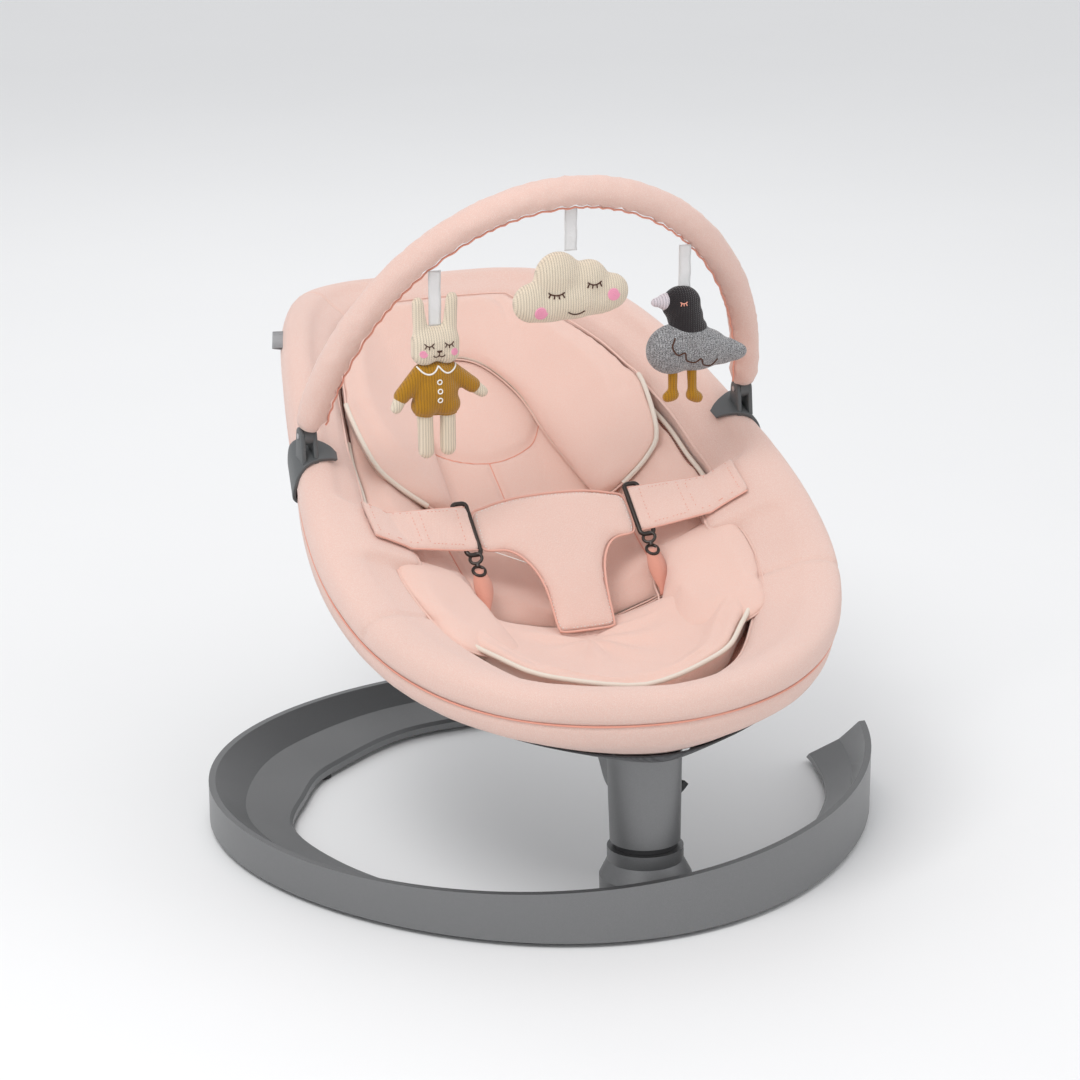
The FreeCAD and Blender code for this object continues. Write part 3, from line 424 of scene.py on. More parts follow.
class Wire:
    """One socket of a finish; sums and products of wires add Math nodes."""

    def __init__(self, looks, socket):
        self.looks, self.socket = looks, socket

    def sum(self, operation, *others):
        return self.looks.add("ShaderNodeMath", {"operation": operation}, *others)

    def __add__(self, other):
        return self.sum("ADD", self, other)

    def __sub__(self, other):
        return self.sum("SUBTRACT", self, other)

    def __rsub__(self, other):
        return self.sum("SUBTRACT", other, self)

    def __mul__(self, other):
        return self.sum("MULTIPLY", self, other)

    def __truediv__(self, other):
        return self.sum("DIVIDE", self, other)

    def __pow__(self, other):
        return self.sum("POWER", self, other)

    def __abs__(self):
        return self.sum("ABSOLUTE", self)

    __radd__, __rmul__ = __add__, __mul__

    def sine(self):
        return self.sum("SINE", self)

    def fraction(self):
        return self.sum("FRACT", self)

    def steps(self, low, high):
        """0 below low, 1 above high, smooth between."""
        return self.looks.add("ShaderNodeMapRange", {"interpolation_type": "SMOOTHSTEP"}, self, low, high)


class Looks:
    """A finish being wired up."""

    def __init__(self, name):
        self.material = bpy.data.materials.new(name)
        self.material.use_nodes = True
        self.nodes = self.material.node_tree.nodes
        self.shader = self.nodes["Principled BSDF"]

    def add(self, kind, settings, *inputs, out=0, **named):
        """Adds a node: settings first, then its sockets by place or by name."""
        node = self.nodes.new(kind)
        for key, value in settings.items():
            setattr(node, key, value)
        for key, value in list(enumerate(inputs)) + list(named.items()):
            socket = node.inputs[key if isinstance(key, int) else key.replace("_", " ")]
            if isinstance(value, Wire):
                self.material.node_tree.links.new(value.socket, socket)
            elif value is not None:
                socket.default_value = value
        return Wire(self, node.outputs[out])

    def place(self):
        """The piece's own coordinates, in metres."""
        return self.add("ShaderNodeTexCoord", {}, out=3)

    def axis(self, place, index):
        return self.add("ShaderNodeSeparateXYZ", {}, place, out=index)

    def attribute(self, name):
        return self.add("ShaderNodeAttribute", {"attribute_name": name}, out=2)

    def noise(self, place, scale, detail=2.0, roughness=0.5):
        return self.add("ShaderNodeTexNoise", {}, Vector=place, Scale=scale, Detail=detail, Roughness=roughness)

    def mix(self, share, first, second):
        """A colour between two colours."""
        node = self.nodes.new("ShaderNodeMix")
        node.data_type = "RGBA"
        for index, value in ((0, share), (6, first), (7, second)):
            if isinstance(value, Wire):
                self.material.node_tree.links.new(value.socket, node.inputs[index])
            else:
                node.inputs[index].default_value = value if index == 0 else (*value, 1)
        return Wire(self, node.outputs[2])

    def dim(self, colour, amount):
        """A colour multiplied by a grey number."""
        return self.add("ShaderNodeVectorMath", {"operation": "SCALE"}, colour, Scale=amount)

    def finish(self, colour=None, roughness=None, height=None, relief=0.0002, **fixed):
        """Joins the wires to the shader and returns the material."""
        links = self.material.node_tree.links
        if colour is not None:
            links.new(colour.socket, self.shader.inputs["Base Color"])
        if isinstance(roughness, Wire):
            links.new(roughness.socket, self.shader.inputs["Roughness"])
        elif roughness is not None:
            self.shader.inputs["Roughness"].default_value = roughness
        if height is not None:
            bump = self.add("ShaderNodeBump", {}, Strength=1.0, Distance=relief, Height=height)
            links.new(bump.socket, self.shader.inputs["Normal"])
        for key, value in fixed.items():
            self.shader.inputs[key.replace("_", " ")].default_value = value
        return self.material


def melange(name, base, fleck, lining=None, thread=0.55):
    """Heathered woven cloth: fine flecks, a soft tone change and a thread relief."""
    looks = Looks(name)
    place = looks.place()
    x, y, z = (looks.axis(place, i) for i in range(3))
    speck = looks.noise(place, 1150.0, 3.0, 0.65).steps(0.42, 0.66)
    streak = looks.noise(looks.add("ShaderNodeMapping", {}, place, Scale=(260.0, 1500.0, 900.0)), 1.0, 1.0)
    tone = looks.noise(place, 9.0, 3.0)
    colour = looks.mix(speck * thread + streak * 0.22, tuple(base), tuple(fleck))
    colour = looks.dim(colour, tone * 0.10 + 0.95)
    if lining is not None:
        colour = looks.mix(looks.attribute("lining"), colour, tuple(lining))
    weave = ((x + z * 0.4) * 5200.0).sine() * ((y - z * 0.7) * 5200.0).sine()
    return looks.finish(colour, tone * 0.08 + 0.80, weave * 0.35 + speck * 0.65, 0.00022,
                        Sheen_Weight=0.35, Sheen_Roughness=0.45, Specular_IOR_Level=0.22)


def plain_cloth(name, base, rib=None):
    """Close plain cloth, or webbing where a rib spacing in millimetres is given."""
    looks = Looks(name)
    place = looks.place()
    x, y, z = (looks.axis(place, i) for i in range(3))
    speck = looks.noise(place, 1300.0, 2.0, 0.6)
    tone = looks.noise(place, 14.0, 2.0)
    colour = looks.dim(looks.mix(speck * 0.4, tuple(base), tuple(c * 0.86 for c in base)), tone * 0.12 + 0.94)
    height = speck
    if rib:
        wave = 2 * math.pi / (rib * MM)
        height = speck * 0.3 + ((x + y) * wave).sine() * ((x - z) * wave).sine()
    return looks.finish(colour, 0.82, height, 0.0002, Sheen_Weight=0.25, Specular_IOR_Level=0.2)


def knitted(name, yarn, second=None, share=0.5):
    """Stocking stitch: columns of V stitches in yarn, or two yarns twisted together, with painted shade in the
    grooves.
    """
    looks = Looks(name)
    rib = sizes().knit_rib * MM
    place = looks.place()
    x, y, z = (looks.axis(place, i) for i in range(3))
    across = (x / rib).fraction()
    bend = abs(across - 0.5)
    stitch = (((z + bend * rib * 1.1) / (rib * 0.8)).fraction() - 0.5)
    round_rib = (across * math.pi).sine() ** 0.6
    height = round_rib * 0.75 + (1 - abs(stitch) * 2.0) * 0.45
    fluff = looks.noise(place, 1600.0, 3.0, 0.7)
    base = tuple(yarn)
    if second is None:
        colour = looks.mix(fluff.steps(0.35, 0.75) * 0.5, base, tuple(min(1, c * 1.25) for c in base))
    else:
        twist = looks.noise(looks.add("ShaderNodeMapping", {}, place, Scale=(900.0, 900.0, 1500.0)), 1.0, 2.0, 0.7)
        colour = looks.mix(twist.steps(share - 0.16, share + 0.16), base, tuple(second))
    # Painted shade and light: the colour runs from 0.62 in the grooves between ribs and stitches to about 1.12 on the
    # raised crowns.
    colour = looks.dim(colour, height * 0.42 + 0.62)
    return looks.finish(colour, 0.9, height + fluff * 0.3, 0.0007, Sheen_Weight=0.3, Specular_IOR_Level=0.15)


def lacquer(name, base):
    """Satin metallic lacquer with fine pearl, a soft orange peel and painted shade on faces turned upward."""
    looks = Looks(name)
    place = looks.place()
    pearl = looks.noise(place, 2600.0, 2.0, 0.7).steps(0.45, 0.75)
    peel = looks.noise(place, 420.0, 2.0)
    handled = looks.noise(place, 14.0, 4.0, 0.6)
    colour = looks.mix(pearl * 0.5, tuple(base), tuple(c * 1.6 for c in base))
    # Painted shade: the colour darkens by up to 45 % where the surface faces upward, such as the ring's inner flange.
    painted_shade_upward = looks.axis(looks.add("ShaderNodeNewGeometry", {}, out=1), 2)
    colour = looks.dim(colour, 1 - painted_shade_upward.steps(0.1, 0.9) * 0.45)
    return looks.finish(colour, handled * 0.10 + 0.40, peel * 0.5 + pearl * 0.5, 0.00004,
                        Metallic=0.75, Coat_Weight=0.2, Coat_Roughness=0.3)


def moulded(name, base, rough=0.5, grain=900.0, metallic=0.0):
    """Moulded plastic or rubber with a fine spark-eroded grain."""
    looks = Looks(name)
    place = looks.place()
    grit = looks.noise(place, grain, 3.0, 0.6)
    wear = looks.noise(place, 40.0, 4.0, 0.6)
    colour = looks.dim(looks.mix(grit * 0.4, tuple(base), tuple(c * 1.35 for c in base)), wear * 0.2 + 0.9)
    return looks.finish(colour, wear * 0.14 + (rough - 0.07), grit, 0.00007, Metallic=metallic)


def turned(name, base, rough=0.34):
    """Turned or drawn metal with faint lines round it."""
    looks = Looks(name)
    place = looks.place()
    line = looks.noise(looks.add("ShaderNodeMapping", {}, place, Scale=(30.0, 30.0, 3000.0)), 1.0, 2.0)
    stain = looks.noise(place, 60.0, 3.0)
    colour = looks.dim(looks.mix(line * 0.5, tuple(base), tuple(c * 0.75 for c in base)), stain * 0.15 + 0.92)
    return looks.finish(colour, line * 0.15 + rough, line, 0.00003, Metallic=1.0)


def open_mesh(name, thread, gap, pitch):
    """Knitted air mesh: round holes in staggered rows between threads, the holes filled with a dark gap colour as
    painted shade.
    """
    looks = Looks(name)
    place = looks.place()
    x, y, z = (looks.axis(place, i) for i in range(3))
    wave = 2 * math.pi / (pitch * MM)
    cells = ((x + y * 0.5) * wave).sine() * ((y + z * 0.8) * wave).sine()
    hole = abs(cells).steps(0.45, 0.75)
    speck = looks.noise(place, 1500.0, 2.0).steps(0.4, 0.65)
    # Painted shade: the holes take the dark gap colour, which stands for the shaded depth seen through them.
    colour = looks.mix(hole, looks.mix(speck * 0.7, tuple(thread), tuple(c * 1.9 for c in thread)), tuple(gap))
    return looks.finish(colour, 0.85, 1 - hole, 0.0005, Sheen_Weight=0.2)


FINISHES = {}


def finishes():
    """Every finish, made once."""
    if FINISHES:
        return FINISHES
    c = colours()
    FINISHES.update(
        cover=melange("Pink melange", c.cover, c.fleck),
        insert=melange("Pink insert cloth", c.insert, c.fleck, c.cream, 0.35),
        harness=melange("Pink harness cloth", c.cover, c.fleck, None, 0.45),
        salmon=plain_cloth("Salmon thread", c.salmon),
        edging=plain_cloth("Rose edging", (0.80, 0.44, 0.355)),
        webbing=plain_cloth("Salmon webbing", c.salmon, 1.8),
        cream=plain_cloth("Cream binding", c.cream),
        pale_thread=plain_cloth("Pale thread", (0.86, 0.84, 0.80)),
        dark_thread=plain_cloth("Brown thread", (0.075, 0.028, 0.016)),
        cheek=plain_cloth("Cheek stitching", (0.86, 0.36, 0.50)),
        ribbon=plain_cloth("White ribbon", (0.93, 0.925, 0.92), 1.1),
        tag=plain_cloth("Grey label cloth", (0.42, 0.42, 0.43), 0.9),
        lacquer=lacquer("Satin grey lacquer", c.grey),
        black=moulded("Black moulding", (0.018, 0.018, 0.019), 0.42),
        clip=moulded("Grey clip moulding", (0.085, 0.09, 0.092), 0.46),
        rubber=moulded("Rubber foot", (0.03, 0.03, 0.031), 0.75, 500.0),
        nylon=moulded("Nylon bush", (0.62, 0.60, 0.56), 0.5),
        steel=turned("Turned steel", (0.56, 0.56, 0.57)),
        gunmetal=turned("Gunmetal wire", (0.075, 0.065, 0.06), 0.30),
        tube=turned("Drawn aluminium", (0.66, 0.67, 0.68)),
        pan=moulded("Coated pan", (0.10, 0.10, 0.105), 0.5),
        # The last colour of each mesh finish is the painted shade of its holes.
        mesh=open_mesh("Underside mesh", (0.055, 0.056, 0.06), (0.008, 0.008, 0.009), 2.4),
        sling=open_mesh("Sling mesh", (0.78, 0.42, 0.34), (0.52, 0.22, 0.17), 3.0),
        knit=knitted("Cream knit", c.knit),
        mustard=knitted("Mustard knit", c.mustard),
        slate=knitted("Charcoal knit", (0.022, 0.018, 0.020)),
        heather=knitted("Grey heather knit", (0.10, 0.098, 0.10), (0.50, 0.50, 0.51), 0.5),
        lilac=knitted("Lilac knit", (0.66, 0.60, 0.64)),
    )
    return FINISHES


NODE_FINISH = {
    "base_ring": "lacquer", "base_feet": "rubber", "hub_cover_plate": "black", "pivot_shaft": "steel",
    "pivot_shaft_nut": "steel", "thrust_ring": "black", "shaft_retaining_washer": "steel",
    "post_shell": "lacquer", "lower_bush": "nylon", "upper_bush": "nylon", "recline_pin": "steel",
    "recline_pin_caps": "black", "lever_pin": "steel", "lock_lever": "black", "brake_plunger": "nylon",
    "recline_button": "black", "recline_bolt": "steel", "seat_carrier": "pan", "pan_screws": "steel",
    "frame_arms": "tube", "seat_frame_tube": "tube", "left_bar_clip": "clip", "right_bar_clip": "clip",
    "toy_bar_pins": "steel", "toy_bar_core": "tube", "left_bar_tongue": "clip", "right_bar_tongue": "clip",
}


# ------------------------------------------------------------ pieces

class SWING_OT_hardware(Operator):
    """Gives the frame's own parts their finishes"""
    bl_idname = "swing.hardware"
    bl_label = "Hardware finishes"

    def execute(self, context):
        for name, finish in NODE_FINISH.items():
            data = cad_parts[name].data
            data.materials.clear()
            data.materials.append(finishes()[finish])
        return {"FINISHED"}


COVER_OUTLINE = [(0, -1.0, -8), (0, 0.5, 1), (0, 5, 8), (0, 16, 11), (.32, 8, 8.5), (.6, 0, 1.5), (.85, 0, -8),
                 (1, -4, -14), (1, -.5, -18), (1, -1, -26), (1, -3, -36), (.84, 0, -33), (.6, 0, -25), (.4, 0, -31),
                 (0, 22, -37), (0, 9, -35), (0, 3, -33), (0, 1.2, -23), (0, 1.2, -17), (0, 2.6, -15.2),
                 (0, 0.2, -13)]
HEM_SHARES = {13: 0.8, 14: 1.0, 15: 0.45, 16: 0.15}
CROSS_SEAMS = (-31.0, 211.0, 60.0, 120.0)


def cover_row(angle):
    """The padded rim's section at an angle, seamed where panels meet."""
    width = cover_width(angle)
    reach = tab_share(angle) * sizes().tab_reach
    near = min(abs(((angle - seam + 180) % 360) - 180) for seam in CROSS_SEAMS)
    pinch = 2.2 * math.exp(-(near / 0.55) ** 2)
    row = []
    skirt = skirt_share(angle)
    for index, (share, offset, above) in enumerate(COVER_OUTLINE):
        hem = skirt * HEM_SHARES.get(index, 0.0)
        inward = (width + reach) * share + offset + hem * 14
        above -= hem * sizes().skirt_drop
        flat = ease((share - 0.5) / 0.35) if reach else 0.0
        above -= flat * reach * 0.12
        row.append((inward, above))
    line = smooth_line([V((a, b)) for a, b in row], 3.2, closed=True)
    edge, inside, up = rim_axes(angle)
    points = []
    for flat in smooth_counts(line, 52):
        inward, above = flat
        if above > -12 and pinch > 0.01:
            above -= pinch if inward > 6 else 0
            inward += pinch if inward < 8 else 0
        point = edge + inside * inward + up * above
        swell = noise.noise(point / 70.0) * 1.3 + noise.noise(point / 22.0) * 0.35
        points.append(point + up * swell)
    return points


def smooth_counts(line, count):
    """A closed line with a fixed number of evenly spaced points."""
    lengths = [0.0]
    closed = line + [line[0]]
    for a, b in zip(closed, closed[1:]):
        lengths.append(lengths[-1] + (b - a).length)
    spread, i = [], 0
    for k in range(count):
        goal = lengths[-1] * k / count
        while lengths[i + 1] < goal:
            i += 1
        share = (goal - lengths[i]) / (lengths[i + 1] - lengths[i])
        spread.append(closed[i].lerp(closed[i + 1], share))
    return spread


def cover_angles():
    """Where the rim's sections stand: closer at the seams and waist tabs."""
    angles = [2.0 * step for step in range(180)]
    for seam in CROSS_SEAMS:
        angles += [seam + offset for offset in (-1.5, -0.9, -0.45, 0, 0.45, 0.9, 1.5)]
    for step in range(30):
        angles += [-18 + step * 0.55, 198 - step * 0.55]
    merged = []
    for angle in sorted(a % 360 for a in angles):
        if not merged or angle - merged[-1] > 0.3:
            merged.append(angle)
    return merged


class SWING_OT_cover(Operator):
    """Builds the padded rim cover with its piping"""
    bl_idname = "swing.cover"
    bl_label = "Rim cover"

    def execute(self, context):
        bm = skin(bmesh.new(), [cover_row(angle) for angle in cover_angles()])
        cover = as_piece("rim_cover_cloth", bm, "seat", finishes()["cover"], ["rim_cover"])
        lip = [rim_place(a, cover_width(a) + tab_share(a) * sizes().tab_reach - 0.5,
                         -19 - tab_share(a) * sizes().tab_reach * 0.12) for a in cover_angles()]
        hem = [rim_place(a, 1.0, -15.2) for a in cover_angles()]
        as_piece("rim_cover_piping", cords([lip], sizes().piping, True), "seat", finishes()["cover"])
        as_piece("rim_cover_seam", cords([hem], 0.9, True), "seat", finishes()["salmon"])
        return {"FINISHED"}


FRONT_EDGE = ((270, 20), (280, 18), (290, 14), (300, 10), (310, 8), (320, 4), (329, 3), (337, 3), (343, 3))
BACK_EDGE = (347, 352, 358, 4, 10, 17, 25, 34, 44, 54, 64, 76, 90)


def seat_outline():
    return mirrored([inner_edge(a, margin) for a, margin in FRONT_EDGE] + [(110, -93), (50, -92), (0, -92)])


def back_outline():
    return mirrored([(0, -89), (60, -89), (125, -88)] + [inner_edge(a) for a in BACK_EDGE])


def pillow_outline():
    return mirrored([(0, 222), (26, 214), (48, 188), (63, 150), (75, 104), (84, 62), (92, 36), (106, 34), (128, 44),
                     (139, 60)] + [inner_edge(a, 4) for a in (19, 24, 32, 42, 52, 64, 76, 90)])


BLOCK = [(99, -46), (128, -48), (152, -54), (162, -84), (161, -120), (154, -156), (140, -190), (116, -192),
         (84, -176), (82, -130), (90, -84)]
BACK_SEAMS = [[(-66, 160), (-44, 134), (0, 122), (44, 134), (66, 160)], [(0, 122), (0, 60), (2, 0), (0, -86)],
              [(94, 38), (90, 0), (88, -40), (88, -86)], [(-94, 38), (-90, 0), (-88, -40), (-88, -86)]]


def plan(points):
    return [V(p) for p in points]


PAD_VOXEL, PAD_CROWN, SEAM_DEPTH = 5.0, 17.0, 4.0


def pad_mesh(bowl, outline, lift, thick, seams=(), wave=0.0, extra=None):
    """A sewn and filled pad over an outline, laid on the sling.

    The blank is cut flat, remeshed, domed in from its edges, bent onto the sling and filled."""
    border = smooth_line(plan(outline), 6.0, closed=True)
    bm = bmesh.new()
    face = bm.faces.new([bm.verts.new((p.x, p.y, -thick / 2)) for p in border])
    top = bmesh.ops.extrude_face_region(bm, geom=[face])["geom"]
    bmesh.ops.translate(bm, verts=[v for v in top if isinstance(v, bmesh.types.BMVert)], vec=(0, 0, thick))
    bmesh.ops.recalc_face_normals(bm, faces=bm.faces)
    mesh = remeshed(bm, PAD_VOXEL)
    seam_lines = [smooth_line(plan(s), 6.0) for s in seams]
    flat = []
    for vert in mesh.vertices:
        x, y, h = vert.co
        away = distance_to(V((x, y)), border, closed=True)
        rise = min(away / PAD_CROWN, 1.0)
        dome = 0.22 + 0.78 * math.sqrt(max(0.0, 1 - (1 - rise) ** 2))
        flat.append(h)
        vert.co = bowl.place(x, y, lift + thick / 2 + h * dome) * MM
    layer = mesh.attributes.new("lining", "FLOAT", "POINT")
    layer.data.foreach_set("value", [1.0 if h < -thick * 0.12 else 0.0 for h in flat])
    drop = mesh.attributes.new("level", "FLOAT", "POINT")
    drop.data.foreach_set("value", flat)
    filled(mesh, sizes().fill_cap)
    mesh = subdivided(mesh)
    level = [0.0] * len(mesh.vertices)
    mesh.attributes["level"].data.foreach_get("value", level)
    for vert, h in zip(mesh.vertices, level):
        place = vert.co / MM
        spot = V((place.x, place.y))
        floor = bowl.place(spot.x, spot.y, 0)
        if (place - floor).z < lift * 0.8:
            place.z = floor.z + lift * 0.8
        sink = 0.0
        if h > 0:
            near = min((distance_to(spot, s) for s in seam_lines), default=99.0)
            sink = SEAM_DEPTH * math.exp(-(near / 4.5) ** 2) + SEAM_DEPTH * 0.35 * math.exp(-(near / 13.0) ** 2)
            sink -= noise.noise(place / 26.0) * wave
            if extra:
                sink += extra(spot)
        vert.co = (place - V((0, 0, sink))) * MM
    mesh.attributes.remove(mesh.attributes["level"])
    return mesh, border


def flap_pucker(spot):
    """Small gathers that fan out from the end of the crotch stem, and the raised front edge."""
    border = [V(inner_edge(a, 12)) for a in range(216, 326, 6)]
    raised = 15.0 * ease(1 - distance_to(spot, border) / 30.0) * ease((-130 - spot.y) / 50.0)
    away = spot - V((0, -140))
    turn = math.atan2(away.x, -away.y)
    near = math.exp(-((away.length - 40) / 34.0) ** 2)
    return 1.6 * math.sin(turn * 9.0 + 0.7) * near * (1 if away.y < 10 else 0) - raised


CLIP_SECTION = [(36, 7.5), (30, 12), (22, 14.5), (14, 15), (6, 13), (1, 8), (-2.5, 1), (-4, -8), (-4, -16), (-3, -24),
                (1, -31), (7, -37), (15, -41), (22, -42.5)]
CLIP_HALF = [4, 11, 16, 19.5, 21, 21, 20.5, 20, 19.5, 18.5, 17, 14.5, 11, 6]
CLIP_CORE = (18, -14)
RIM_MM_PER_DEGREE = 5.2
EAR_WALLS = ((3.4, 7.6), (-3.4, -7.6))


class SWING_OT_clips(Operator):
    """Builds the leaf-shaped clips that hold the toy bar to the rim"""
    bl_idname = "swing.clips"
    bl_label = "Toy bar clips"

    def execute(self, context):
        for name, side in (("left", 1), ("right", -1)):
            angle = min((a * 0.25 for a in range(-60, 160)), key=lambda a: abs(rim_point(a).y - BAR_Y))
            angle = angle if side > 0 else 180 - angle
            section = smooth_line(plan(CLIP_SECTION), 2.4)
            spans = smooth_line([V((i, half)) for i, half in enumerate(CLIP_HALF)], 0.2)
            rows = []
            for i, spot in enumerate(section):
                share = i / (len(section) - 1)
                half = spans[min(len(spans) - 1, round(share * (len(spans) - 1)))].y
                row = []
                for k in range(-8, 9):
                    across = half * k / 8
                    turned = rim_axes(angle + side * across / RIM_MM_PER_DEGREE)
                    row.append(turned[0] + turned[1] * spot.x + turned[2] * spot.y)
                rows.append(row)
            bm = skin(bmesh.new(), rows, closed_row=False, joined=False)
            clip = as_piece(name + "_clip_leaf", bm, "seat", finishes()["clip"], [name + "_bar_clip"])
            core = rim_place(angle, *CLIP_CORE) * MM
            if sum(face.normal.dot(face.center - core) for face in clip.data.polygons) < 0:
                clip.data.flip_normals()
            wall = clip.modifiers.new("Wall", "SOLIDIFY")
            wall.thickness, wall.offset = 3.2 * MM, -1.0
            soft = clip.modifiers.new("Soft edge", "BEVEL")
            soft.width, soft.segments = 1.1 * MM, 3
            self.ears(name, side)
        return {"FINISHED"}

    def ears(self, name, side):
        """The two rounded lugs that carry the toy bar's pin."""
        pin = V((side * BAR_HALF * math.sqrt(1 - (PIVOT_HEIGHT / BAR_HEIGHT) ** 2), BAR_Y, BAR_BASE_HEIGHT))
        pin += BAR_UP * PIVOT_HEIGHT
        bm = bmesh.new()
        for near, far in EAR_WALLS:
            outline = [V((0, 8 * math.cos(t), 8 * math.sin(t))) for t in
                       (math.pi * k / 12 for k in range(13))] + [V((0, -11, -24)), V((0, 11, -24))]
            verts = [bm.verts.new(pin + V((near, p.y, p.z))) for p in outline]
            face = bm.faces.new(verts)
            lug = bmesh.ops.extrude_face_region(bm, geom=[face])["geom"]
            bmesh.ops.translate(bm, verts=[v for v in lug if isinstance(v, bmesh.types.BMVert)],
                                vec=(far - near, 0, 0))
        ears = as_piece(name + "_clip_ears", bm, "seat", finishes()["clip"])
        soft = ears.modifiers.new("Soft edge", "BEVEL")
        soft.width, soft.segments, soft.limit_method = 1.2 * MM, 3, "ANGLE"


SHEET_THICK = 1.6
MESH_HOLE_HALF = (46, 66)


class SWING_OT_slings(Operator):
    """Builds the seat sling and the dark mesh that closes the underside"""
    bl_idname = "swing.slings"
    bl_label = "Sling and underside"

    def sheet(self, name, rows, finish, slot, node, rests_on):
        """One stretched cloth sheet, skinned over rows of points."""
        bm = skin(bmesh.new(), rows, joined=False, capped=False)
        area = sum(face.calc_area() for face in bm.faces) * MM * MM
        bmesh.ops.recalc_face_normals(bm, faces=bm.faces)
        piece = as_piece(name, bm, "seat", finish, [node])
        solid = piece.modifiers.new("Cloth thickness", "SOLIDIFY")
        solid.thickness = SHEET_THICK * MM
        solid.offset = 0.0
        low, high = V(piece.bound_box[0]), V(piece.bound_box[6])
        size = high - low

    def execute(self, context):
        bowl = Bowl()
        rows = []
        for share in (0.03, 0.12, 0.24, 0.36, 0.5, 0.62, 0.74, 0.85, 0.94, 1.0):
            row = []
            for angle, reach, _, _ in bowl.edges:
                x = BOWL_CENTRE.x + math.cos(angle) * reach * share
                y = BOWL_CENTRE.y + math.sin(angle) * reach * share
                row.append(V((x, y, bowl.height(x, y) - 2.0 + noise.noise(V((x, y, 0)) / 45.0) * 0.8)))
            rows.append(row)
        self.sheet("seat_sling_cloth", rows, finishes()["sling"], "salmon_webbing", "seat_sling",
                   ["seat_frame_tube"])
        rows = []
        for share in (0.0, 0.12, 0.25, 0.4, 0.55, 0.7, 0.82, 0.92, 1.0):
            row = []
            for step in range(180):
                angle = step * 2.0
                skirt = skirt_share(angle)
                top = rim_place(angle, 12 + 14 * skirt, -34 - sizes().skirt_drop * skirt)
                turn = math.radians(angle)
                hole = V((MESH_HOLE_HALF[0] * math.cos(turn), MESH_HOLE.y + MESH_HOLE_HALF[1] * math.sin(turn),
                          MESH_HOLE.z))
                place = top.lerp(hole, share)
                power = 1.2 + 1.2 * ease((math.sin(turn) + 0.6) / 1.4)
                place.z = hole.z + (top.z - hole.z) * (1 - share) ** power
                row.append(place)
            rows.append(row)
        self.sheet("underside_cloth", rows, finishes()["mesh"], "grey_mesh", "underside_mesh",
                   ["seat_frame_tube", "seat_carrier"])
        return {"FINISHED"}


class SWING_OT_insert(Operator):
    """Builds the insert: seat and back pads, hip blocks and head pillow"""
    bl_idname = "swing.insert"
    bl_label = "Insert"

    def execute(self, context):
        bowl = Bowl()
        cloth, cream, thread = (finishes()[n] for n in ("insert", "cream", "salmon"))
        s = sizes()
        low, high = 3.0, 3.0 + s.insert_thick - 1.0
        jobs = [
            ("seat_pad_cloth", "insert_seat_pad", seat_outline(), low, s.insert_thick, (), 0.9, flap_pucker),
            ("back_pad_cloth", "insert_back_pad", back_outline(), low, s.insert_thick, BACK_SEAMS, 0.5, None),
            ("head_pillow_cloth", "head_pillow", pillow_outline(), high, s.pillow_thick, (), 0.5, None),
            ("left_hip_block_cloth", "left_hip_bolster", BLOCK, 14.0, 16.0, (), 0.4, None),
            ("right_hip_block_cloth", "right_hip_bolster", [(-x, y) for x, y in BLOCK][::-1], 14.0, 16.0, (), 0.4,
             None),
        ]
        shown = {"seat_pad_cloth": lambda p: p.y < -105,
                 "back_pad_cloth": lambda p: abs(p.x) > 118 and -20 < p.y < 90,
                 "head_pillow_cloth": lambda p: abs(p.x) > 104 and p.y < 120}
        bold = []
        for name, node, outline, lift, thick, seams, wave, extra in jobs:
            mesh, border = pad_mesh(bowl, outline, lift, thick, seams=seams, wave=wave, extra=extra)
            pad = as_piece(name, mesh, "seat", cloth, [node])
            run, quiet = [], []
            for p in border + border[:1]:
                place = bowl.place(p.x, p.y, lift + thick / 2) - V((0, 0, min(extra(p), 0) if extra else 0))
                if shown.get(name, lambda p: False)(p):
                    run.append(place)
                elif len(run) > 1:
                    bold.append(run)
                    run = []
                quiet.append(place)
            bold += [run] if len(run) > 1 else []
            as_piece(name + "_edge", cords([quiet], 0.9), "seat", cloth)
            if seams:
                tree = surface_of(pad)
                lines = [laid_on(tree, [V((p.x, p.y, bowl.height(p.x, p.y) + 30)) for p in smooth_line(plan(q), 3.0)],
                                 V((0, 0, -1)), 0.1) for q in seams]
                as_piece(name + "_seams", cords(lines, 0.55), "seat", thread)
        as_piece("insert_binding", cords(bold, s.piping * 1.5, sides=3), "seat", cream)
        return {"FINISHED"}


# ------------------------------------------------------------ harness

HARNESS_ORIGIN = V((0, -25, 299))
HARNESS_TILT = Matrix.Rotation(math.radians(38), 4, "X")


def in_harness(x, y, above):
    """A place on the harness's tilted plane."""
    return HARNESS_ORIGIN + HARNESS_TILT @ V((x, y, above))


CROTCH_HALF = [(0, 1), (36, 0), (60, -4), (72, -8), (74, -26), (73, -44), (66, -49), (52, -52), (42, -60), (34, -74),
               (29, -92), (27, -112), (26, -134), (22, -139), (0, -140)]


def stitches(lines, pitch=3.4, share=0.62, radius=0.38):
    """Running stitch along lines: short thread dashes."""
    dashes = []
    for line in lines:
        travelled, dash = 0.0, []
        for a, b in zip(line, line[1:]):
            travelled += (b - a).length
            if travelled % pitch < pitch * share:
                dash.append(b)
            elif len(dash) > 1:
                dashes.append(dash)
                dash = []
            else:
                dash = []
    return cords(dashes, radius, sides=1)


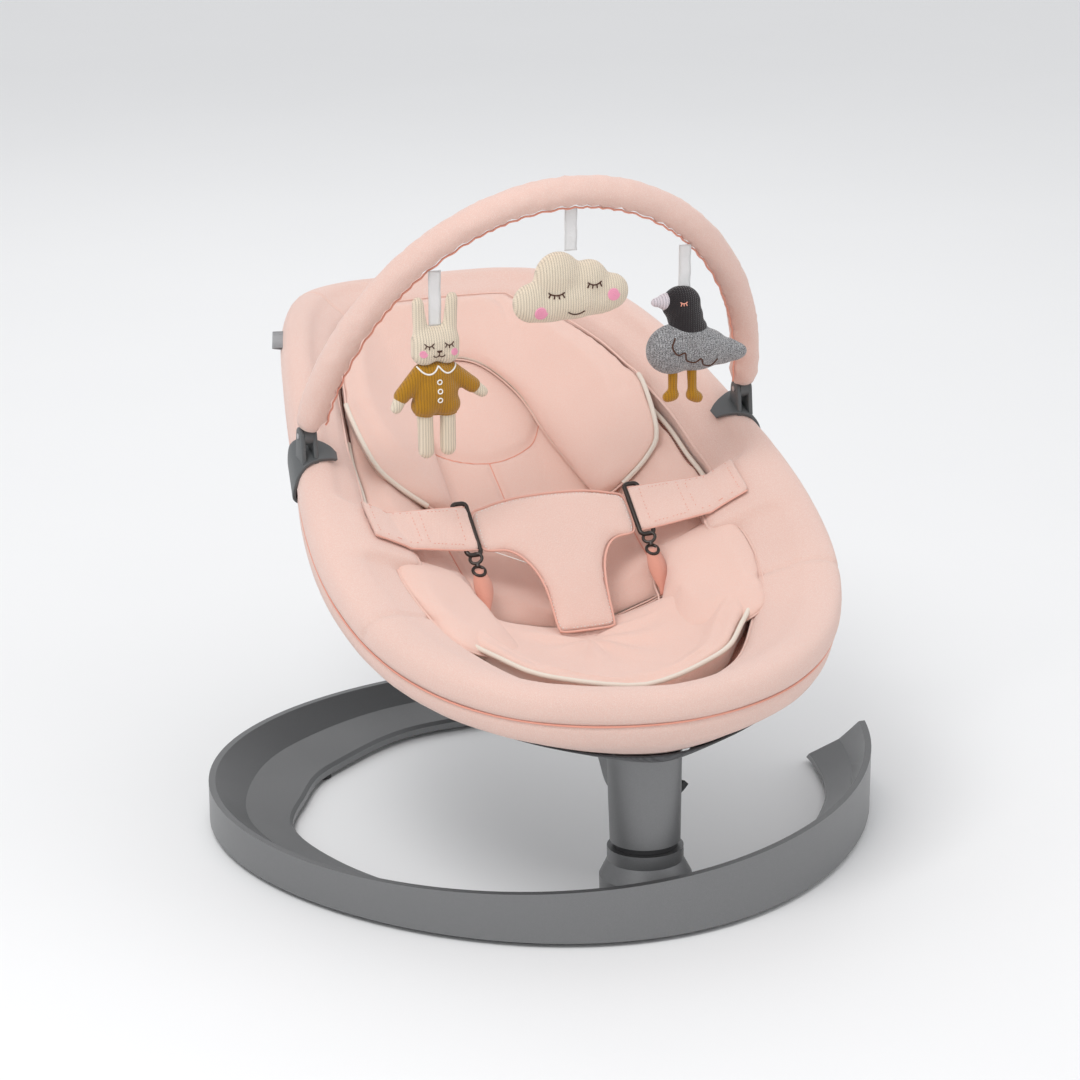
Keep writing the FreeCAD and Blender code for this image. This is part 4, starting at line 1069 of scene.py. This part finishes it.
class SWING_OT_harness(Operator):
    """Builds the crotch pad, waist straps, buckle rings and webbing"""
    bl_idname = "swing.harness"
    bl_label = "Harness"

    def execute(self, context):
        self.crotch()
        for side, name in ((1, "left"), (-1, "right")):
            self.strap(side, name)
        return {"FINISHED"}

    def crotch(self):
        """The tummy pad with its stem, bound all round."""
        border = smooth_line([V((x, y)) for x, y in CROTCH_HALF] + [V((-x, y)) for x, y in CROTCH_HALF[-2:0:-1]],
                             4.0, closed=True)
        bm = bmesh.new()
        face = bm.faces.new([bm.verts.new((p.x, p.y, 0)) for p in border])
        top = bmesh.ops.extrude_face_region(bm, geom=[face])["geom"]
        bmesh.ops.translate(bm, verts=[v for v in top if isinstance(v, bmesh.types.BMVert)], vec=(0, 0, 8))
        bmesh.ops.recalc_face_normals(bm, faces=bm.faces)
        mesh = remeshed(bm, 3.2)
        for vert in mesh.vertices:
            x, y, h = vert.co
            away = distance_to(V((x, y)), border, closed=True)
            dome = 0.45 + 0.55 * math.sqrt(max(0.0, 1 - (1 - min(away / 7.0, 1)) ** 2))
            bow = -0.0011 * x * x + self.stem_dip(y)
            vert.co = in_harness(x, y, 4 + (h - 4) * dome + bow) * MM
        filled(mesh, 1.6)
        mesh = subdivided(mesh)
        pad = as_piece("crotch_pad_cloth", mesh, "seat", finishes()["harness"], ["crotch_pad"])
        rim = [in_harness(p.x * 1.005, p.y, 6 - 0.0011 * p.x * p.x + self.stem_dip(p.y)) for p in border]
        as_piece("crotch_pad_binding", cords([rim], 1.1, True), "seat", finishes()["edging"])
        inner = [V((p.x * 0.95, -66 + (p.y + 66) * 0.955)) for p in border]
        tree = surface_of(pad)
        normal = HARNESS_TILT.to_3x3() @ V((0, 0, 1))
        seam = laid_on(tree, [in_harness(p.x, p.y, 20) for p in smooth_line(inner + inner[:1], 1.0)], -normal, 0.05)
        as_piece("crotch_pad_stitching", stitches([seam]), "seat", finishes()["pale_thread"])

    @staticmethod
    def stem_dip(y):
        """How far the stem curls down to the seat at its lower end."""
        return -9.0 * ease((-y - 80) / 70.0)

    def strap(self, side, name):
        """One waist strap with its ring, hook and webbing."""
        wide = sizes().strap_wide
        middle = -wide / 2 - 2
        start, end = 78.0, 176.0
        rise = math.tan(math.radians(14)) * 0.62
        cover = surface_of(bpy.data.objects["rim_cover_cloth"])

        def spot(across, along, lift):
            """A place on the strap; where the strap meets the cover it lies on it."""
            x = start + (end - start) * along
            centre = in_harness(side * x, middle, 2.5 + (x - start) * rise)
            turn = math.radians(38 - 13 * ease(along * 1.3))
            point = centre + V((0, math.cos(turn), math.sin(turn))) * across
            point += V((0, -math.sin(turn), math.cos(turn))) * lift
            under = laid_on(cover, [point + V((0, 0, 60))], V((0, 0, -1)))
            if under and abs(point.x) > 120 and under[0].z > point.z - lift - 3.4:
                point.z = under[0].z + 3.4 + lift
            return point

        rows = []
        for i in range(33):
            along = i / 32
            half = wide / 2 - (1.2 if i in (0, 32) else 0)
            thick = 2.2 + 0.15 * math.sin(along * 40)
            section = [V((-half, 0)), V((-half + 1.2, thick)), V((-half / 2, thick + 0.5)), V((0, thick + 0.6)),
                       V((half / 2, thick + 0.5)), V((half - 1.2, thick)), V((half, 0)), V((half - 1.2, -thick)),
                       V((0, -thick)), V((-half + 1.2, -thick))]
            rows.append([spot(p.x, along, p.y) for p in section])
        bm = skin(bmesh.new(), rows, joined=False)
        bmesh.ops.subdivide_edges(bm, edges=bm.edges, cuts=1, use_grid_fill=True, smooth=0.6)
        cloth = as_piece(name + "_waist_strap_cloth", bm, "seat", finishes()["harness"],
                         [name + "_waist_strap"])
        box = []
        for low, high in ((0.10, 0.46), (0.54, 0.94)):
            half = wide / 2 - 4.5
            corners = [(-half, low), (-half, high), (half, high), (half, low), (-half, low)]
            line = []
            for (a, b), (c, d) in zip(corners, corners[1:]):
                line += [spot(a + (c - a) * k / 30, b + (d - b) * k / 30, 8) for k in range(30)]
            normal = HARNESS_TILT.to_3x3() @ V((0, 0, 1))
            box.append(laid_on(surface_of(cloth), line, -normal, 0.05))
        edges = [[spot(across, k / 60, 0.6) for k in range(61)] for across in (-wide / 2, wide / 2)]
        as_piece(name + "_strap_edging", cords(edges, 0.8), "seat", finishes()["edging"])
        as_piece(name + "_strap_stitching", stitches(box), "seat", finishes()["salmon"])
        self.ring(side, name, middle)

    def ring(self, side, name, middle):
        """The gunmetal wire ring, its snap hook and the webbing to the seat."""
        inner, outer = 76.0, 89.0
        half = sizes().strap_wide / 2 + 4.5
        corner = 4.0
        line = []
        right, left, top, foot = outer - corner, inner + corner, middle + half - corner, middle - half + corner
        for cx, cy, turn in ((right, top, 0), (left, top, 90), (left, foot, 180), (right, foot, 270)):
            for k in range(7):
                a = math.radians(turn + k * 15)
                line.append(in_harness(side * (cx + corner * math.cos(a)), cy + corner * math.sin(a), 3.0))
        as_piece(name + "_ring_wire", cords([line], 2.1, True, 4), "seat", finishes()["gunmetal"],
                 [name + "_buckle_ring"])
        low = middle - half
        x = side * (inner + outer) / 2
        eye = [in_harness(x + 5.0 * math.sin(a), low - 4 + 5.0 * math.cos(a), 3 + 2 * math.sin(a))
               for a in (k * math.pi / 10 for k in range(20))]
        jaw = [in_harness(x + 5.5 * math.sin(a), low - 16 + 5.5 * math.cos(a), 1 - math.cos(a))
               for a in (k * math.pi / 10 for k in range(20))]
        neck = [in_harness(x, low - 8 + k * -1.2, 2.5 - k * 0.3) for k in range(4)]
        hook = cords([eye, jaw], 1.5, True, 3)
        as_piece(name + "_snap_hook", hook, "seat", finishes()["gunmetal"], [name + "_buckle_hook"])
        as_piece(name + "_hook_swivel", cords([neck], 2.4, False, 3), "seat", finishes()["gunmetal"])
        rows = []
        for i in range(15):
            t = i / 14
            wide = 4.5 + 5.0 * math.sin(math.pi * min(t * 1.15, 1.0)) - 2.5 * t
            y = low - 15 - 42 * t
            above = 1 - 12 * t * t
            rows.append([in_harness(x + a * wide, y, above + b * 1.2) for a, b in
                         ((-1, -0.6), (-1, 0.6), (0, 1), (1, 0.6), (1, -0.6), (0, -1))])
        webbing = as_piece(name + "_webbing_cloth", skin(bmesh.new(), rows, joined=False), "seat",
                           finishes()["webbing"], [name + "_webbing_loop"])
        as_sheet(webbing, 20, 48)


# ------------------------------------------------------------ toy bar

BAR_HALF, BAR_HEIGHT, BAR_BASE_HEIGHT, BAR_Y = 210.0, 270.0, 349.0, 25.0
BAR_UP = V((0, -math.sin(math.radians(24.6)), math.cos(math.radians(24.6))))
PIVOT_HEIGHT = 22.0
SLEEVE_SEAM = math.pi * 1.15


def arch_point(turn):
    return (V((BAR_HALF * math.cos(turn), BAR_Y, BAR_BASE_HEIGHT)) + BAR_UP * (BAR_HEIGHT * math.sin(turn)))


class SWING_OT_toy_bar(Operator):
    """Builds the quilted sleeve of the toy bar"""
    bl_idname = "swing.toy_bar"
    bl_label = "Toy bar sleeve"

    def execute(self, context):
        first = math.asin((PIVOT_HEIGHT + 12) / BAR_HEIGHT)
        radius = sizes().sleeve - 0.8
        rows, fold = [], []
        steps = 150
        face = V((0, math.cos(math.radians(24.6)), math.sin(math.radians(24.6))))
        for i in range(steps + 1):
            turn = first + (math.pi - 2 * first) * i / steps
            centre = arch_point(turn)
            along = (arch_point(turn + 0.01) - arch_point(turn - 0.01)).normalized()
            out = along.cross(face).normalized()
            out = out if out.dot(centre - V((0, BAR_Y, BAR_BASE_HEIGHT))) > 0 else -out
            row = []
            for k in range(32):
                a = 2 * math.pi * k / 32
                side, lean = math.cos(a), math.sin(a)
                reach = radius
                reach += 0.9 * noise.noise(V((turn * 28, side * 1.5, lean * 1.5)))
                reach += 0.5 * noise.noise(V((turn * 75, side, lean + 4)))
                pull = math.exp(-((a - SLEEVE_SEAM) / 0.5) ** 2)
                reach += pull * (1.1 * math.sin(turn * 95 + 2 * math.sin(turn * 13)) - 1.2)
                reach += 1.6 * math.exp(-((a - SLEEVE_SEAM) / 0.13) ** 2)
                end = min(i, steps - i)
                reach *= 1 - 0.22 * max(0.0, 1 - end / 2.0)
                row.append(centre + out * (side * reach) + face * (lean * reach))
            rows.append(row)
            a = SLEEVE_SEAM
            wobble = 0.9 * math.sin(turn * 95 + 2 * math.sin(turn * 13))
            fold.append(centre + (out * math.cos(a) + face * math.sin(a)) * (radius + 1.4 + wobble * 0.8))
        bm = skin(bmesh.new(), rows, joined=False)
        sleeve = as_piece("toy_bar_sleeve_cloth", bm, "toy_bar", finishes()["cover"], ["toy_bar_sleeve"])
        as_piece("toy_bar_sleeve_seam", cords([fold[1:-1]], 0.9), "toy_bar", finishes()["salmon"])
        return {"FINISHED"}


# ------------------------------------------------------------ toys

def hang_point(turn, ribbon):
    """Where a toy's top is, under its ribbon."""
    angle = math.radians(turn)
    spot = arch_point(angle)
    along = (V((-BAR_HALF * math.sin(angle), 0, 0)) + BAR_UP * (BAR_HEIGHT * math.cos(angle))).normalized()
    level = math.sqrt(1 - along.z ** 2)
    drop = sizes().sleeve / level + 5.5 * abs(along.z) / level + 1.0
    return spot - V((0, 0, drop + ribbon))


def stuffed(name, body, finish, top, lumps=(), limbs=(), voxel=1.7, smooth=8, replaces=()):
    """A stuffed knitted shape: overlapping lumps and limbs drawn into one skin."""
    bm = bmesh.new()
    for x, y, z, wide, deep, tall in lumps:
        made = bmesh.ops.create_icosphere(bm, subdivisions=4, radius=1.0)["verts"]
        bmesh.ops.scale(bm, vec=(wide, deep, tall), verts=made)
        bmesh.ops.translate(bm, vec=top + V((x, y, z)), verts=made)
    for start, end, thick, thin in limbs:
        for k in range(9):
            t = k / 8
            made = bmesh.ops.create_icosphere(bm, subdivisions=3, radius=thick + (thin - thick) * t)["verts"]
            bmesh.ops.translate(bm, vec=top + V(start).lerp(V(end), t), verts=made)
    mesh = remeshed(bm, voxel)
    bm = bmesh.new()
    bm.from_mesh(mesh)
    for _ in range(smooth):
        bmesh.ops.smooth_vert(bm, verts=bm.verts, factor=0.5, use_axis_x=True, use_axis_y=True, use_axis_z=True)
    piece = as_piece(name, bm, body, finish, replaces)
    return piece


FRONT = V((0, 1, 0))


def sewn(name, piece, top, lines, radius, finish, body, rise=0.15):
    """Yarn lines sewn onto the front of a toy, drawn as x, z places under its top."""
    tree = surface_of(piece)
    laid = []
    for line in lines:
        path = smooth_line([top + V((x, 0, z)) for x, z in line], 0.8)
        found = laid_on(tree, path, FRONT, rise)
        if len(found) > 1:
            laid.append(found)
    return as_piece(name, cords(laid, radius), body, finish)


def spiral(x, z, radius, turns=2.5):
    """A flat spiral of yarn round a centre."""
    steps = int(turns * 12)
    return [(x + radius * k / steps * math.cos(k * math.pi / 6), z + radius * k / steps * math.sin(k * math.pi / 6))
            for k in range(1, steps + 1)]


def arc(x, z, half, dip):
    """A drooping arc."""
    return [(x + half * t, z - dip * (1 - t * t)) for t in (-1, -0.6, -0.2, 0.2, 0.6, 1)]


class SWING_OT_toys(Operator):
    """Builds the rabbit, the cloud and the bird on their ribbons"""
    bl_idname = "swing.toys"
    bl_label = "Toys"

    def execute(self, context):
        for name, turn, ribbon, make in (("bunny", 124, 44, self.bunny), ("cloud", 90, 33, self.cloud),
                                         ("bird", 57, 34, self.bird)):
            top = hang_point(turn, ribbon)
            self.ribbon(name, top, ribbon)
            make(top - V((0, 0, 2.4)))
        return {"FINISHED"}

    def ribbon(self, name, top, ribbon):
        """A flat woven ribbon, a little slack along its length."""
        rows = []
        for i in range(25):
            z = -4 + (ribbon + 4.5) * i / 24
            sway = 0.9 * math.sin(i * 0.5)
            rows.append([top + V((a * 5.5, b * 0.6 + sway * (0.4 + a * 0.3), z)) for a, b in
                         ((-1, -1), (-0.5, -1.1), (0, -1), (0.5, -1.1), (1, -1), (1, 1), (0, 1), (-1, 1))])
        strip = as_piece(name + "_ribbon_cloth", skin(bmesh.new(), rows, joined=False), name + "_ribbon",
                         finishes()["ribbon"], [name + "_ribbon"])
        return as_sheet(strip, 12.5, ribbon + 6.5)

    def bunny(self, top):
        body, slot = "bunny_toy", "cream_knit"
        f = finishes()
        head = stuffed("bunny_head", body, f["knit"], top,
                       lumps=[(-9, 0, -16, 13, 12, 15), (9, 0, -16, 13, 12, 15), (0, 0, -17, 20, 13, 16),
                              (-10, 0, -25, 12, 12, 11), (10, 0, -25, 12, 12, 11)],
                       limbs=[((-13, 0, -8), (-15.5, 0, 20), 7.0, 5.6), ((13, 0, -8), (15.5, 0, 22), 7.0, 5.6)],
                       replaces=["bunny_toy"])
        jumper = stuffed("bunny_jumper", body, f["mustard"], top,
                         lumps=[(0, 0, -45, 17, 12, 13), (0, 0, -60, 20.5, 13.5, 20), (-10, 0, -72, 12.5, 12, 11),
                                (10, 0, -72, 12.5, 12, 11)],
                         limbs=[((-13, 0, -42), (-31, 0, -62), 8.2, 7.4), ((13, 0, -42), (34, 0, -58), 8.2, 7.4)],
                         smooth=6)
        stuffed("bunny_hands", body, f["knit"], top,
                limbs=[((-31, 0, -62), (-36, 0, -72), 6.2, 5.6), ((34, 0, -58), (43, 0, -65), 6.2, 5.6)])
        stuffed("bunny_legs", body, f["knit"], top,
                limbs=[((-10, 0, -78), (-9, 0, -113), 7.4, 7.6), ((11, 0, -78), (11, 0, -112), 7.4, 7.6)])
        lashes = [arc(-9, -14, 4.2, 2.6), arc(9, -14, 4.2, 2.6)]
        lashes += [[(x + d, -17.0 + abs(d) * 0.25), (x + d * 1.5, -19.2 + abs(d) * 0.3)]
                   for x in (-9, 9) for d in (-2.6, 0, 2.6)]
        smile = [[(0, -22), (0, -25)], arc(-2.6, -25, 2.6, 1.8), arc(2.6, -25, 2.6, 1.8)]
        nose = [[(-2 + 0.8 * k, -20.6), (-1 + 0.5 * k, -22.2)] for k in range(6)]
        sewn("bunny_face", head, top, lashes + smile + nose, 0.5, f["dark_thread"], body)
        sewn("bunny_cheeks", head, top, [spiral(-14, -23, 3.2, 3), spiral(14, -23, 3.2, 3)], 0.6, f["cheek"],
             body, 0.1)
        collar = [arc(-9, -35.5, 9, 6.5), arc(9, -35.5, 9, 6.5)]
        sewn("bunny_collar", jumper, top, collar, 0.75, f["pale_thread"], body)
        rings = [[(2.0 * math.cos(k * math.pi / 6), z + 2.0 * math.sin(k * math.pi / 6)) for k in range(13)]
                 for z in (-49, -57, -65)]
        sewn("bunny_buttons", jumper, top, rings, 0.6, f["pale_thread"], body)
        hem = [[(-19 + k, -81 + 0.006 * (k - 19) ** 2) for k in range(0, 39, 3)]]
        sewn("bunny_hem", jumper, top, hem, 0.8, f["mustard"], body, -0.1)

    def cloud(self, top):
        body, slot = "cloud_toy", "cream_knit"
        f = finishes()
        cloud = stuffed("cloud_knit", body, f["knit"], top, voxel=2.0,
                        lumps=[(-12, 0, -24, 22, 13, 23), (16, 0, -30, 19, 12, 20), (-36, 0, -45, 18, 11, 18),
                               (37, 0, -41, 17, 11, 17), (0, 0, -45, 36, 14, 18), (-20, 0, -50, 30, 11, 14),
                               (22, 0, -47, 28, 11, 14)], smooth=10, replaces=["cloud_toy"])
        lashes = [arc(-17, -35, 7, 2.4), arc(18, -28.5, 6.5, 2.4)]
        lashes += [[(x + d, z - 2.4 + abs(d) * 0.22), (x + d * 1.35, z - 6.0 + abs(d) * 0.3)]
                   for x, z in ((-17, -35), (18, -28.5)) for d in (-5, -1.7, 1.7, 5)]
        sewn("cloud_face", cloud, top, lashes + [arc(1, -53, 7.5, 2.6)], 0.65, f["dark_thread"], body)
        sewn("cloud_cheeks", cloud, top, [spiral(-31, -52, 5.6, 4), spiral(36, -41, 5.4, 4)], 0.8, f["cheek"],
             body, 0.1)

    def bird(self, top):
        body, slot = "bird_toy", "grey_knit"
        f = finishes()
        head = stuffed("bird_head", body, f["slate"], top,
                       lumps=[(-3, 0, -16, 18.5, 12, 16.5), (1, 0, -28, 17, 12, 15), (4, 0, -38, 18, 12.5, 10)],
                       smooth=6)
        trunk = stuffed("bird_body", body, f["heather"], top,
                        lumps=[(2, 0, -48, 24, 13.2, 18), (-11, 0, -57, 25, 14, 23), (12, 0, -59, 31, 13, 20),
                               (34, 0, -63, 22, 9, 13), (48, 0, -65, 14, 6.5, 9)], smooth=8, replaces=["bird_toy"])
        stuffed("bird_beak", body, f["lilac"], top, voxel=1.3,
                lumps=[(-18, 0, -13, 8, 7.5, 7.5), (-25, 0, -13, 7, 4.5, 4.5)],
                limbs=[((-17, 0, -9), (-11, 0, -7), 4.0, 2.2), ((-17, 0, -14), (-10, 0, -13), 6.8, 5.4),
                       ((-16, 0, -19), (-12, 0, -22), 4.6, 2.6)], smooth=3)
        stuffed("bird_legs", body, f["mustard"], top, voxel=1.5,
                limbs=[((-10, 0, -74), (-10, 0, -97), 4.8, 4.4), ((8, 0, -74), (9, 0, -98), 4.8, 4.4),
                       ((-10, 0, -99), (-15, 0, -101), 6.0, 5.0), ((9, 0, -101), (14, 0, -104), 6.2, 5.4)], smooth=4)
        wing = [[(-13, -44), (-16, -52), (-11, -59), (-4, -58), (-2, -65), (6, -68), (12, -65), (15, -71), (23, -73),
                 (29, -67)]]
        sewn("bird_wing", trunk, top, wing, 0.75, f["dark_thread"], body)
        lash = [arc(-5, -12, 3.2, 1.4)] + [[(-5 + d, -13.2), (-5 + d * 1.4, -15.4)] for d in (-2, 0, 2)]
        sewn("bird_eye", head, top, lash, 0.5, f["salmon"], body)


LABEL_ANGLE = 144


class SWING_OT_label(Operator):
    """Builds the blank folded label at the head"""
    bl_idname = "swing.label"
    bl_label = "Edge label"

    def execute(self, context):
        edge, inside, up = rim_axes(LABEL_ANGLE)
        along = inside.cross(up).normalized()
        rows = []
        for i in range(13):
            t = i / 12
            out = edge + inside * (3 - 12 * math.sin(math.pi * t)) + up * (1.2 - 2.4 * t)
            rows.append([out + along * a + up * b for a, b in ((-17, -0.3), (0, -0.4), (17, -0.3), (17, 0.3), (0, 0.4),
                                                               (-17, 0.3))])
        label = as_piece("edge_label_cloth", skin(bmesh.new(), rows, joined=False), "seat", finishes()["tag"],
                         ["edge_tag"])
        as_sheet(label, 35, 30)
        return {"FINISHED"}


class SWING_OT_stage(Operator):
    """Sets the pale floor, the soft lights and the camera"""
    bl_idname = "swing.stage"
    bl_label = "Stage"

    def execute(self, context):
        scene = context.scene
        bm = bmesh.new()
        bmesh.ops.create_grid(bm, x_segments=2, y_segments=2, size=7.0)
        mesh = bpy.data.meshes.new("pale_floor")
        bm.to_mesh(mesh)
        bm.free()
        mesh.transform(Matrix.Translation((0, 0, -0.0005)))
        floor = bpy.data.objects.new("pale_floor", mesh)
        scene.collection.objects.link(floor)
        looks = Looks("Pale floor")
        tone = looks.noise(looks.place(), 3.0, 3.0)
        mesh.materials.append(looks.finish(looks.mix(tone, (0.86, 0.86, 0.86), (0.88, 0.88, 0.88)), 0.7,
                                           Specular_IOR_Level=0.1))
        world = bpy.data.worlds.new("Soft room")
        world.use_nodes = True
        world.node_tree.nodes["Background"].inputs["Color"].default_value = (0.97, 0.98, 1.0, 1)
        world.node_tree.nodes["Background"].inputs["Strength"].default_value = 0.80
        scene.world = world
        self.softbox("key_softbox", (-1.2, -1.0, 2.4), 1.0, 26)
        self.softbox("fill_softbox", (1.9, -1.2, 1.3), 1.6, 5)
        self.softbox("back_softbox", (0.4, 2.0, 1.9), 1.8, 8)
        camera = bpy.data.objects.new("camera", bpy.data.cameras.new("camera"))
        scene.collection.objects.link(camera)
        camera.location = (-1.0257, -2.7374, 1.263)
        camera.rotation_euler = V((0.3329, 0.8844, -0.3272)).to_track_quat("-Z", "Y").to_euler()
        camera.data.lens = 113.3
        camera.data.sensor_width = 36.0
        scene.camera = camera
        scene.view_settings.view_transform = "Standard"
        return {"FINISHED"}

    @staticmethod
    def softbox(name, place, size, watts):
        """A square soft light aimed at the seat."""
        light = bpy.data.lights.new(name, "AREA")
        light.size, light.energy = size, watts
        lamp = bpy.data.objects.new(name, light)
        bpy.context.scene.collection.objects.link(lamp)
        lamp.location = place
        lamp.rotation_euler = (V((0, -0.05, 0.3)) - V(place)).to_track_quat("-Z", "Y").to_euler()


OPERATORS = (SWING_OT_stage, SWING_OT_hardware, SWING_OT_cover, SWING_OT_clips, SWING_OT_slings, SWING_OT_insert,
             SWING_OT_harness, SWING_OT_toy_bar, SWING_OT_toys, SWING_OT_label)


class SWING_PT_parts(Panel):
    """Lists the swing's sizes, colours and pieces"""
    bl_idname = "SWING_PT_parts"
    bl_label = "Baby swing"
    bl_space_type = "VIEW_3D"
    bl_region_type = "UI"
    bl_category = "Baby swing"

    def draw(self, context):
        for group in (context.scene.swing_sizes, context.scene.swing_colours):
            box = self.layout.box()
            for name in group.__annotations__:
                box.prop(group, name)
        for operator in OPERATORS:
            self.layout.operator(operator.bl_idname)


CLASSES = (SwingSizes, SwingColours) + OPERATORS + (SWING_PT_parts,)


def register():
    for cls in CLASSES:
        bpy.utils.register_class(cls)
    bpy.types.Scene.swing_sizes = PointerProperty(type=SwingSizes)
    bpy.types.Scene.swing_colours = PointerProperty(type=SwingColours)


def unregister():
    del bpy.types.Scene.swing_colours
    del bpy.types.Scene.swing_sizes
    for cls in reversed(CLASSES):
        bpy.utils.unregister_class(cls)


def main():
    register()
    for operator in OPERATORS:
        group, name = operator.bl_idname.split(".")
        getattr(getattr(bpy.ops, group), name)()


if __name__ == "__main__":
    main()
